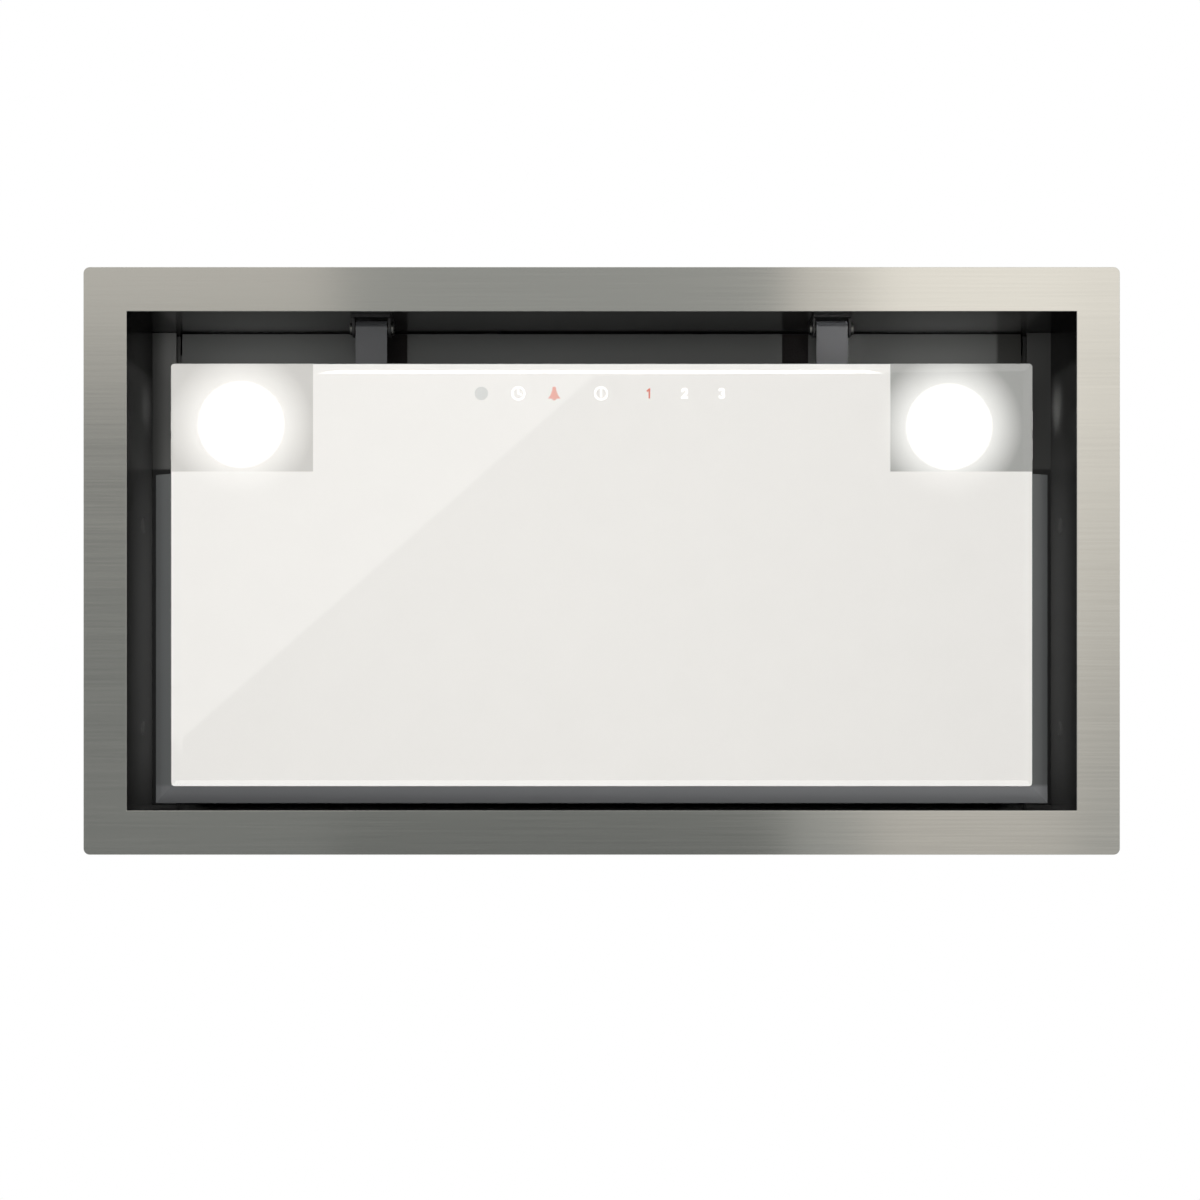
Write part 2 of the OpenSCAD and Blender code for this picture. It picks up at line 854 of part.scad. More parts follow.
module lamp_lens() {
    color("white")
        translate([lamp_x, lamp_y, pod_z])
            rotate_extrude()
                polygon([[0, 0.6], [lens_r * 0.6, 0.4], [lens_r, 0], [lens_r, 2], [0, 2.6]]);
}

// A round board with its light-emitting chips, on a finned heat sink that rests on the bezel
module led_module() {
    board_z0 = pod_z + bezel_h;
    sink_r = bezel_hole_r + 0.3;
    sink_t = 3;
    fin = [1.6, 2, 16];
    fins = 3;
    fin_pitch = sink_r / (fins + 0.6);
    chip = [3.5, 3.5, 1.6];
    chip_r = lens_r * 0.55;
    color(zinc)
        translate([lamp_x, lamp_y, 0]) {
            translate([0, 0, board_z0])
                cylinder(h = sink_t, r = sink_r);
            for (i = [-fins : fins])
                translate([i * fin_pitch, 0, board_z0 + sink_t - lap + fin[2] / 2])
                    cube([fin[0], 2 * sqrt(sink_r * sink_r - pow(i * fin_pitch, 2)) - fin[1], fin[2]],
                         center = true);
            for (i = [0 : 5])
                translate([chip_r * cos(i * 60), chip_r * sin(i * 60), board_z0])
                    cube(chip, center = true);
        }
}

module lamp_screws() {
    color(bright)
        lamp_screw_places(ceiling_z - pod_t)
            rotate([180, 0, 0])
                screw(small_r, 5, small_head_r, small_head_h);
}

// Grease filter

module filter_frame() {
    x = filter_w / 2;
    y0 = filter_y0 + filter_fit;
    y1 = y0 + filter_d;
    z0 = filter_z;
    z1 = filter_z + filter_t;
    pane_w = (filter_w - 2 * filter_rail) / 3;
    tongue_z = ceiling_top + seat_gap;
    color(bright) {
        difference() {
            block([-x, y0, z0], [x, y1, z1]);
            block([-x + filter_skin, y0 + filter_skin, z0 + filter_skin],
                  [x - filter_skin, y1 - filter_skin, z1 - filter_skin]);
            for (i = [-1 : 1])
                block([(i - 0.5) * pane_w + filter_bar, y0 + filter_rail, z0 - lap],
                      [(i + 0.5) * pane_w - filter_bar, y1 - filter_rail, z1 + lap]);
        }
        block([-x + filter_tongue_in, filter_y0 - filter_tongue, tongue_z],
              [x - filter_tongue_in, y0 + filter_skin / 2, tongue_z + filter_skin]);
    }
}

// Expanded mesh, pressed into pleats that fill the frame
module filter_mesh() {
    slack = 0.3;
    x = filter_w / 2 - filter_skin - slack;
    y0 = filter_y0 + filter_fit + filter_skin + slack;
    y1 = y0 + filter_d - 2 * (filter_skin + slack);
    z0 = filter_z + filter_skin + slack;
    z1 = filter_z + filter_t - filter_skin - slack;
    mesh_t = 1.2;
    pleats = 44;
    step = 2 * x / pleats;
    rise = z1 - z0 - mesh_t;
    low = [for (i = [0 : pleats]) [-x + i * step, z0 + (i % 2) * rise]];
    high = [for (i = [pleats : -1 : 0]) [-x + i * step, z0 + mesh_t + (i % 2) * rise]];
    color([0.62, 0.63, 0.62])
        along_y(y0, y1)
            polygon(concat(low, high));
}

// A wire pull ring under the rear rail of the filter
module filter_handle() {
    ring_r = 12;
    wire_r = 1.3;
    drop = 3;
    y = filter_y0 + filter_fit + filter_d - filter_rail / 2;
    color(bright)
        translate([0, y, filter_z - drop]) {
            rotate([90, 0, 0])
                rotate([0, 0, 180])
                    rotate_extrude(angle = 180)
                        translate([ring_r, 0]) circle(wire_r, $fn = 24);
            for (s = [-1, 1])
                translate([s * ring_r, 0, 0])
                    cylinder(h = drop, r = wire_r, $fn = 24);
        }
}

// Spring-steel clips under the rear strip, whose noses hold the rear edge of the filter up
module filter_clips() {
    y1 = filter_y1 + clip_foot;
    heel_y = filter_y1 + clip_heel;
    nose_y = filter_y1 - filter_fit - clip_nose;
    z = ceiling_z;
    low = ceiling_z - clip_drop;
    color([0.55, 0.57, 0.62])
        for (s = [-1, 1])
            along_x(s * clip_x - clip_w / 2, s * clip_x + clip_w / 2)
                polygon([
                    [y1, z], [y1, z - clip_t], [heel_y, z - clip_t], [filter_y1, low - clip_t],
                    [nose_y + 2, z - clip_t], [nose_y, low - clip_t], [nose_y - clip_t, low],
                    [nose_y + 1.7, z + 0.2], [filter_y1 - 0.2, low + 0.2], [heel_y - 0.4, z]
                ]);
}

// Blower. Its outlines are (y, z) about the impeller's axis, and it turns from +Y towards +Z.

// The scroll's radius grows steadily from the tongue round to the outlet
function scroll_points(t, steps = 48) = [
    for (i = [0 : steps])
        let (a = tongue_a + (360 - tongue_a) * i / steps)
        let (r = scroll_r0 + (scroll_r1 - scroll_r0) * i / steps + t)
        [r * cos(a), r * sin(a)]
];

module scroll_outline(t, top) {
    polygon(scroll_points(t));
    translate([outlet_y0 - t, 0])
        square([outlet_y1 - outlet_y0 + 2 * t, top]);
}

// The right half: a side sheet with its inlet hole, half the wrapper and half the outlet lip
module scroll_half() {
    color(dark)
        difference() {
            translate([0, blower_y, blower_z])
                difference() {
                    union() {
                        along_x(0, scroll_x)
                            scroll_outline(scroll_t, outlet_z);
                        block([0, outlet_y0 - scroll_t - scroll_lip, outlet_z - scroll_t],
                              [scroll_x + scroll_lip, outlet_y1 + scroll_t + scroll_lip, outlet_z]);
                    }
                    along_x(-lap, scroll_x - scroll_t)
                        scroll_outline(0, outlet_z + lap);
                    rotate([0, 90, 0])
                        cylinder(h = scroll_x + lap, r = hole_r);
                    for (a = bush_angles)
                        translate([scroll_x - scroll_t - lap, bush_ring_r * cos(a), bush_ring_r * sin(a)])
                            rotate([0, 90, 0])
                                cylinder(h = scroll_t + 2 * lap, r = big_r + screw_fit);
                }
        }
}

// A bellmouth: a flange on the scroll's side, curling in to the throat
module inlet_ring() {
    t = mouth_t;
    r = mouth_r;
    rim_r = inlet_r + mouth_r;
    flange = hole_r + mouth_flange;
    color(bright)
        translate([scroll_x, blower_y, blower_z])
            rotate([0, 90, 0])
                rotate_extrude()
                    polygon(concat(
                        [[flange, 0], [flange, t], [rim_r, t]],
                        [for (a = [15 : 15 : 90]) [rim_r - r * sin(a), t - r + r * cos(a)]],
                        [for (a = [90 : -15 : 15]) [rim_r - (r - t) * sin(a), t - r + (r - t) * cos(a)]],
                        [[rim_r, 0]]
                    ));
}

module wheel_disc() {
    color(bright)
        translate([0, blower_y, blower_z])
            rotate([0, 90, 0])
                difference() {
                    union() {
                        cylinder(h = disc_t, r = wheel_r, center = true);
                        translate([0, 0, -hub_l])
                            cylinder(h = hub_l, r = hub_r);
                    }
                    translate([0, 0, -hub_l - lap])
                        cylinder(h = hub_l + disc_t + 2 * lap, r = shaft_r + 0.02);
                    for (a = [0 : 60 : 300])
                        rotate([0, 0, a])
                            translate([(blade_in_r + hub_r) / 2, 0, -disc_t])
                                cylinder(h = 2 * disc_t, r = hub_hole_r);
                }
}

// One forward-curved blade: its tip leads its root in the direction of turning
function blade_points(a, steps = 4) =
    let (bend = 1.8)
    concat(
        [for (i = [0 : steps])
            let (f = i / steps)
            let (r = blade_in_r + (wheel_r - blade_in_r) * f)
            let (b = a + blade_lead * pow(f, bend) - 90 * blade_t / (PI * r))
            [r * cos(b), r * sin(b)]],
        [for (i = [steps : -1 : 0])
            let (f = i / steps)
            let (r = blade_in_r + (wheel_r - blade_in_r) * f)
            let (b = a + blade_lead * pow(f, bend) + 90 * blade_t / (PI * r))
            [r * cos(b), r * sin(b)]]
    );

module blade_row() {
    color(bright)
        translate([0, blower_y, blower_z])
            for (i = [0 : blade_n - 1])
                along_x(disc_t / 2, disc_t / 2 + blade_l)
                    polygon(blade_points(i * 360 / blade_n));
}

module wheel_rings() {
    color(bright)
        both_sides()
            translate([disc_t / 2 + blade_l, blower_y, blower_z])
                rotate([0, 90, 0])
                    difference() {
                        cylinder(h = ring_t, r = wheel_r);
                        translate([0, 0, -lap])
                            cylinder(h = ring_t + 2 * lap, r = blade_in_r);
                    }
}

module motor_shaft() {
    color(bright)
        translate([-hub_l, blower_y, blower_z])
            rotate([0, 90, 0])
                cylinder(h = hub_l + bracket_x, r = shaft_r);
}

// A closed can with ribbed end caps and a bearing boss at each end
module motor() {
    body_l = bracket_x - motor_x0;
    color(zinc)
        translate([motor_x0, blower_y, blower_z])
            rotate([0, 90, 0])
                difference() {
                    rotate_extrude()
                        polygon([
                            [0, 0], [shaft_r + 5, 0], [shaft_r + 5, motor_cap],
                            [motor_r * 0.6, motor_cap], [motor_r - motor_cap, 2 * motor_cap],
                            [motor_r - motor_cap, motor_cap_l], [motor_r, motor_cap_l],
                            [motor_r, body_l - motor_cap_l], [motor_r - motor_cap, body_l - motor_cap_l],
                            [motor_r - motor_cap, body_l], [motor_boss_r, body_l],
                            [motor_boss_r, body_l + motor_boss_l], [0, body_l + motor_boss_l]
                        ]);
                    translate([0, 0, -lap])
                        cylinder(h = body_l + lap + 1, r = shaft_r + run_fit);
                    for (a = [0 : 30 : 330])
                        rotate([0, 0, a])
                            translate([motor_r * 0.75, 0, body_l - 2])
                                cube(motor_slot, center = true);
                }
}

// A three-armed spider that holds the motor over the right inlet
module motor_bracket() {
    color(zinc)
        translate([bracket_x, blower_y, blower_z])
            difference() {
                along_x(0, bracket_t) {
                    circle(motor_r - motor_cap);
                    for (a = bush_angles) {
                        rotate([0, 0, a])
                            translate([0, -bracket_arm_w / 2])
                                square([bush_ring_r, bracket_arm_w]);
                        translate([bush_ring_r * cos(a), bush_ring_r * sin(a)])
                            circle(bracket_pad_r);
                    }
                }
                rotate([0, 90, 0])
                    translate([0, 0, -lap])
                        cylinder(h = bracket_t + 2 * lap, r = motor_boss_r + seat_gap);
                for (a = bush_angles)
                    translate([-lap, bush_ring_r * cos(a), bush_ring_r * sin(a)])
                        rotate([0, 90, 0])
                            cylinder(h = bracket_t + 2 * lap, r = big_r + screw_fit);
            }
}

module motor_bushes() {
    color(black)
        for (a = bush_angles)
            translate([scroll_x, blower_y + bush_ring_r * cos(a), blower_z + bush_ring_r * sin(a)])
                rotate([0, 90, 0])
                    difference() {
                        cylinder(h = bush_t, r = bush_r);
                        translate([0, 0, -lap])
                            cylinder(h = bush_t + 2 * lap, r = big_r + screw_fit);
                    }
}

module bracket_screws() {
    color(bright)
        for (a = bush_angles)
            translate([bracket_x + bracket_t, blower_y, blower_z])
                translate([0, bush_ring_r * cos(a), bush_ring_r * sin(a)])
                    rotate([0, 90, 0])
                        screw(big_r, bracket_t + bush_t + scroll_t, big_head_r, big_head_h);
}

// Duct collar and its two damper flaps

// The base ring, whose spigot fits inside the collar and carries the seat of the flaps
module collar_base() {
    spigot_r = collar_in_r - collar_fit;
    color(dark)
        difference() {
            translate([0, collar_y, casing_h])
                rotate_extrude()
                    polygon([
                        [spigot_r - seat_t, 0], [collar_r + collar_flange, 0],
                        [collar_r + collar_flange, collar_base_t], [spigot_r, collar_base_t],
                        [spigot_r, flap_seat_h], [spigot_r - seat_w, flap_seat_h],
                        [spigot_r - seat_w, flap_seat_h - seat_t], [spigot_r - seat_t, flap_seat_h - seat_w]
                    ]);
            collar_screw_places(casing_h - lap)
                cylinder(h = collar_base_t + 2 * lap, r = big_r + screw_fit);
        }
}

module duct_collar() {
    color(dark)
        translate([0, collar_y, casing_h])
            difference() {
                translate([0, 0, collar_base_t])
                    cylinder(h = collar_h - collar_base_t, r = collar_r);
                translate([0, 0, collar_base_t - lap])
                    cylinder(h = collar_h + 2 * lap, r = collar_in_r);
                translate([-far / 2, 0, damper_z - casing_h])
                    rotate([0, 90, 0]) cylinder(h = far, r = damper_pin_r + run_fit);
            }
}

module damper_pin() {
    pin_x = collar_r - 0.3;
    color(bright)
        translate([-pin_x, collar_y, damper_z])
            rotate([0, 90, 0]) cylinder(h = 2 * pin_x, r = damper_pin_r);
}

// The rear flap: a half disc with eyes on every second place along the pin
module damper_flap(first) {
    eyes = [first, first + 2, first + 4];
    color(grey)
        translate([0, collar_y, 0])
            difference() {
                union() {
                    intersection() {
                        translate([0, 0, flap_z])
                            cylinder(h = flap_t, r = flap_r);
                        block([-far, damper_edge, flap_z], [far, far, flap_z + flap_t]);
                    }
                    for (i = eyes)
                        along_x(i * eye_pitch - eye_l / 2, i * eye_pitch + eye_l / 2) {
                            translate([0, flap_z])
                                square([damper_edge + lap, flap_t]);
                            translate([0, damper_z])
                                circle(damper_eye_r);
                        }
                }
                translate([-far / 2, 0, damper_z])
                    rotate([0, 90, 0]) cylinder(h = far, r = damper_pin_r + run_fit);
            }
}

module damper_flap_rear() {
    damper_flap(-2.5);
}

module damper_flap_front() {
    translate([0, 2 * collar_y, 0])
        mirror([0, 1, 0])
            damper_flap(-1.5);
}

module collar_screws() {
    color(bright)
        collar_screw_places(casing_h + collar_base_t)
            screw(big_r, 6, big_head_r, big_head_h);
}

// Electronics on top of the casing

module ebox_posts(h, r) {
    for (sx = [-1, 1], sy = [-1, 1])
        translate([ebox_x + sx * (ebox_w / 2 - ebox_post_in), ebox_y + sy * (ebox_d / 2 - ebox_post_in),
                   casing_h + ebox_t - sink])
            cylinder(h = h, r = r);
}

module electronics_box() {
    color(dark)
        difference() {
            union() {
                difference() {
                    block([ebox_x - ebox_w / 2, ebox_y - ebox_d / 2, casing_h],
                          [ebox_x + ebox_w / 2, ebox_y + ebox_d / 2, ebox_rim_z]);
                    block([ebox_x - ebox_w / 2 + ebox_t, ebox_y - ebox_d / 2 + ebox_t, casing_h + ebox_t],
                          [ebox_x + ebox_w / 2 - ebox_t, ebox_y + ebox_d / 2 - ebox_t, ebox_rim_z + lap]);
                }
                ebox_posts(board_z - casing_h - ebox_t + sink, ebox_post_r);
            }
            translate([gland_x, ebox_y + ebox_d / 2 - ebox_t - lap, gland_z])
                rotate([-90, 0, 0]) cylinder(h = ebox_t + 2 * lap, r = gland_r + screw_fit);
        }
}

module electronics_lid() {
    slack = 0.3;
    color(dark) {
        block([ebox_x - ebox_w / 2, ebox_y - ebox_d / 2, ebox_rim_z],
              [ebox_x + ebox_w / 2, ebox_y + ebox_d / 2, ebox_rim_z + ebox_lid_t]);
        translate([ebox_x, ebox_y, ebox_rim_z - 2])
            linear_extrude(2 + ebox_lid_t / 2)
                difference() {
                    square([ebox_w - 2 * (ebox_t + slack), ebox_d - 2 * (ebox_t + slack)], center = true);
                    square([ebox_w - 4 * ebox_t, ebox_d - 4 * ebox_t], center = true);
                }
    }
}

// Board with a transformer, two relays and the terminal block
module control_board() {
    x0 = ebox_x - ebox_w / 2 + ebox_t + board_gap;
    y0 = ebox_y - ebox_d / 2 + ebox_t + board_gap;
    w = ebox_w - 2 * (ebox_t + board_gap) - board_side_gap;
    d = ebox_d - 2 * ebox_t - board_gap - board_end_gap;
    low = board_t - sink;
    color(green)
        translate([x0, y0, board_z]) {
            cube([w, d, board_t]);
            translate([w * 0.21, d * 0.05, low])
                cube([w * 0.4, d * 0.32, part_h]);
            for (i = [0, 1])
                translate([w * 0.7, d * (0.07 + i * 0.27), low])
                    cube([w * 0.21, d * 0.21, part_h - 3]);
            translate([w * 0.06, d * 0.48, low])
                cube([w * 0.48, d * 0.16, part_h - 5]);
        }
}

module run_capacitor() {
    r = 11;
    l = 52;
    wall_gap = 2;
    color(white_glass)
        translate([ebox_x + ebox_w / 2 - ebox_t - r - wall_gap, ebox_y - l / 2, casing_h + ebox_t + r])
            rotate([-90, 0, 0])
                rotate_extrude()
                    polygon([[0, 0], [r - 1.5, 0], [r, 1.5], [r, l - 1.5], [r - 1.5, l], [0, l]]);
}

// A strain-relief gland: threaded sleeve, six-sided collar outside and nut inside
module cable_gland() {
    wall_y = ebox_y + ebox_d / 2;
    nut_r = gland_r + 3;
    color(black)
        translate([gland_x, wall_y, gland_z])
            rotate([-90, 0, 0])
                difference() {
                    union() {
                        translate([0, 0, -ebox_t - gland_inner_l])
                            cylinder(h = ebox_t + gland_inner_l + lap, r = gland_r);
                        cylinder(h = gland_hex_l, r = nut_r, $fn = 6);
                        translate([0, 0, -ebox_t - gland_nut_l])
                            cylinder(h = gland_nut_l, r = nut_r, $fn = 6);
                        translate([0, 0, gland_hex_l - lap / 2])
                            cylinder(h = gland_outer_l, r = gland_r + 0.5);
                    }
                    translate([0, 0, -far / 2])
                        cylinder(h = far, r = gland_bore_r);
                }
}

trim_frame();
front_wall();
rear_wall();
side(-1) side_wall();  // left_side
side_wall();  // right_side
top_plate();
side(-1) side_rail();  // left_rail
side_rail();  // right_rail
suction_plate();
plate_screws();
side(-1) hinge_bracket();  // hinge_bracket_left
hinge_bracket();  // hinge_bracket_right
hinge_pins();
hinge_screws();
glass_panel();
panel_tray();
side(-1) hinge_arm();  // hinge_arm_left
hinge_arm();  // hinge_arm_right
arm_screws();
touch_board();
touch_housing();
magnet_posts();
catch_magnets();
side(-1) lamp_housing();  // lamp_housing_left
lamp_housing();  // lamp_housing_right
side(-1) lamp_bezel();  // lamp_bezel_left
lamp_bezel();  // lamp_bezel_right
side(-1) lamp_lens();  // lamp_lens_left
lamp_lens();  // lamp_lens_right
side(-1) led_module();  // led_module_left
led_module();  // led_module_right
lamp_screws();
filter_frame();
filter_mesh();
filter_handle();
filter_clips();
side(-1) scroll_half();  // scroll_left
scroll_half();  // scroll_right
side(-1) inlet_ring();  // inlet_ring_left
inlet_ring();  // inlet_ring_right
wheel_disc();
side(-1) blade_row();  // blades_left
blade_row();  // blades_right
wheel_rings();
motor_shaft();
motor();
motor_bracket();
motor_bushes();
bracket_screws();
collar_base();
duct_collar();
damper_pin();
damper_flap_front();
damper_flap_rear();
collar_screws();
electronics_box();
electronics_lid();
control_board();
run_capacitor();
cable_gland();
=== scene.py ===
import json
import math

import bmesh
import bpy
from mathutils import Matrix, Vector


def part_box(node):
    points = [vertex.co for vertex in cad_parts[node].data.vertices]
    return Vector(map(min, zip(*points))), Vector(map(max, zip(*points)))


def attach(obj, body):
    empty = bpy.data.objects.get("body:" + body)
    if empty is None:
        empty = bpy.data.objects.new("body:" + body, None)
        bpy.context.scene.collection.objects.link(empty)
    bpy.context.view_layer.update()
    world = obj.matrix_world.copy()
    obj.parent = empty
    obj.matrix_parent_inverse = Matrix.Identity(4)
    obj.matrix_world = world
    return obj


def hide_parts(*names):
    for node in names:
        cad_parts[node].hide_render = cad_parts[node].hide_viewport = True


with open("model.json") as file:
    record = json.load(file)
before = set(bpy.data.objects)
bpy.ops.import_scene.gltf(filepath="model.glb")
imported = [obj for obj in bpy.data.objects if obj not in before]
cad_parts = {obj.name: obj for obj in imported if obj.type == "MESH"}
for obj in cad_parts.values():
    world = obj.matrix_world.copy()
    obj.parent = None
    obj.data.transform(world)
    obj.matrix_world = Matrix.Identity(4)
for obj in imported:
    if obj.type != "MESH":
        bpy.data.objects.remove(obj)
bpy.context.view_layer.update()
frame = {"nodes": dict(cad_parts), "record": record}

MM = 0.001

# Places and sizes from the CAD

GLASS_LOW, GLASS_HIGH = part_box("glass_panel")
SHEET = 1 * MM
INNER_X = -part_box("left_side")[0].x - SHEET
INNER_Y = -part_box("front_wall")[0].y - SHEET
LENS_LOW, LENS_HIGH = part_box("lamp_lens_right")
LAMP = (LENS_LOW + LENS_HIGH) / 2
LENS_R = (LENS_HIGH.x - LENS_LOW.x) / 2

# Glass, its print and its clear corners

WINDOW_X = 137.5 * MM
WINDOW_Y = -42.8 * MM
BEVEL_W = 2.5 * MM
BEVEL_H = 0.9 * MM
ROLL_W = 3.5 * MM
ROLL_H = 0.45 * MM
ROLL_STEPS = 8
GLASS_R = 2 * MM
ROLL_R = 0.6 * MM
PRINT_T = 0.03 * MM
PRINT_EDGE = 0.3 * MM
PRINT_Z = GLASS_HIGH.z - PRINT_T

# Touch symbols, which lie between the glass and its print

KEY_Y = GLASS_LOW.y + 14 * MM
KEY_RING_R = 2.9
KEY_STROKE = 0.7
HAND_STROKE = 0.6
FIGURE_STROKE = 0.8
ICON_Z = PRINT_Z - 0.03 * MM
ICON_GAP = 0.005 * MM
ICON_RISE = 0.0004 * MM
GLASS_TOP = ICON_Z - 0.01 * MM

# Glow of the lamps, centred where the photo shows it

LEFT_SPOT = Vector((-171.8 * MM, -65.3 * MM))
RIGHT_SPOT = Vector((165.6 * MM, -64.2 * MM))
GLOW_COLOUR = (1.0, 0.985, 0.96)
CORE_FADE = (2 * MM, 1.2 * MM)
GLOW_R = 35 * MM
PRINT_PAINTED_GLOW_R = 36 * MM
PRINT_PAINTED_GLOW = 0.10
OPAL_GAP = 0.4 * MM
OPAL_EDGE = 0.2 * MM
OPAL_HOLE_R = 13 * MM

# Where the paint inside changes, and where painted light and painted shade lie

PAINTED_SHADE_CORNER_X = (24 * MM, 12 * MM)
PAINTED_SHADE_CORNER_Y = (28 * MM, 20 * MM)
CEILING_SHADE_X = (197.5 * MM, 199.5 * MM)
CEILING_SHADE_Y = (-100 * MM, -80 * MM)
RAIL_PAINTED_LIGHT_W = 9 * MM
RIM_BLUR = 1 * MM
OUTSIDE_ROUGHER = 0.22
RAIL_PAINTED_SHADE_Y = (WINDOW_Y - 7.5 * MM, WINDOW_Y - 6.5 * MM)
RIM_X = 200 * MM

# Small parts outside and trim at the ceiling

PLUG_R = 2.4 * MM
PLUG_HEAD_R = 4.2 * MM
PLUG_TOP_R = 3.4 * MM
PLUG_HEAD_T = 0.8 * MM
PLUG_Y = (-20 * MM, 80 * MM)
PLUG_Z = 40 * MM
FIELD_IN = 28 * MM
FIELD_Z = (57 * MM, 207 * MM)
FIELD_RISE = 1.5 * MM
FIELD_EDGE = 5 * MM
FIELD_R = 10 * MM
FIELD_STEPS = 6
WELD_R = 2.4 * MM
WELD_RISE = 0.4 * MM
WELD_IN = 7 * MM
WELD_Z = tuple(z * MM for z in range(28, 219, 38))
LID_SCREW_R = 2.6 * MM
LID_SCREW_H = 1.8 * MM
LID_SCREW_IN = 8 * MM
LIP_X = 210.4 * MM
LIP_GAP = 0.9 * MM
LIP_T = 0.8 * MM
SHADE_PAD_X = ((-118 * MM, -97.5 * MM), (90.6 * MM, 103.6 * MM))
SHADE_PAD_T = 0.7 * MM
SHADE_PAD_L = 16 * MM

# Shading of the CAD meshes

SAME_POINT = 0.002 * MM
FLAT_ANGLE = math.radians(0.3)
BEVEL_ANGLE = math.radians(40)
SMOOTH_ANGLE = math.radians(30)

# Camera and stage, in metres

CAMERA = Vector((-0.8 * MM, 66 * MM, -1.04))
CAMERA_LENS = 65.74
CAMERA_SENSOR = 36.0
CAMERA_SHIFT = 0.0833
FLOOR_Z = -2.0
FLOOR_T = 0.01
FLOOR_HALF = 6.0
FLOOR_FADE = (1.5, 5.5)
CARD_T = 0.002
CARD_HALF = 1.6
WORLD_LEVEL = 0.25

# Lamps of the studio: name, place, target, size and watts

STUDIO_LAMPS = (
    ("lamp_below", (-0.08, -0.1, -1.45), (0, 0, 0), 0.5, 13.1),
    ("lamp_front", (-0.25, -1.5, -1.3), (0, 0, 0), 0.9, 8),
    ("lamp_rear", (0.2, 1.5, -1.5), (0, 0, 0), 0.9, 2),
    ("lamp_above", (0.7, -1.3, 1.9), (0, 0, 0.12), 1.4, 75),
    ("lamp_above_rear", (-1.2, 1.3, 1.5), (0, 0, 0.12), 1.4, 45),
)

# Weak light round the panel: places from a lamp's middle or the glass edge, sizes, and watts left and right

FRONT_SPILL_IN = 25 * MM
FRONT_SPILL_Z = 38 * MM
FRONT_SPILL_SIZE = (55 * MM, 30 * MM)
FRONT_SPILL_WATTS = (0.010, 0.014)
SIDE_SPILL_IN = 6 * MM
SIDE_SPILL_Y = 12 * MM
SIDE_SPILL_Z = 42 * MM
SIDE_SPILL_SIZE = (190 * MM, 26 * MM)
SIDE_SPILL_WATTS = 0.045
GLOW_SPILL_OUT = 2 * MM
GLOW_SPILL_IN = 12 * MM
GLOW_SPILL_Z = 45 * MM
GLOW_SPILL_SIZE = 8 * MM
GLOW_SPILL_WATTS = (0.0010, 0.0024)
GLOW_SPILL_SPREAD = math.radians(80)
BEAM_PLACE = Vector((112 * MM, -110 * MM, -350 * MM))
BEAM_SIZE = (20 * MM, 6 * MM)
BEAM_WATTS = 0.0022
BEAM_SPREAD = math.radians(6)

# What the flange sees on the card: where each level starts and ends, and the levels at the rear and in front

CARD_GAP_X = (-0.268, -0.238)
CARD_STEP_X = (0.168, 0.188)
CARD_RISE_X = (0.222, 0.285)
CARD_FAR_X = (0.435, 0.465)
CARD_FRONT_Y = (-0.335, -0.20)
CARD_SLOPE_Y = (-0.45, 0.30)
LEFT_LEVELS = (0.253, 0.87)
GAP_LEVELS = (0.188, 0.46)
RIGHT_LEVELS = (0.56, 1.26)
FAR_LEVELS = (0.41, 1.20)
WARM_LEVELS = (0.35, 0.6)

# What the glass sees on the card

EDGE_FROM = Vector((0.006, -0.253))
EDGE_TO = Vector((-0.400, 0.104))
EDGE_BLUR = 0.004
EDGE_END_Y = (0.10, 0.13)
EDGE_LEVELS = (0.25, 1.45)
FRONT_BAR_X = (0.27, 0.275)
FRONT_BAR_Y = (-0.75, -0.65, -0.45, -0.36)
FRONT_BAR_LEVEL = 8.0
RIGHT_STRIP_X = (0.5, 0.7)
RIGHT_STRIP_LEVEL = 0.4
REAR_STRIP_Y = (0.6, 0.8)
REAR_STRIP_LEVEL = 2.6


# Material helpers

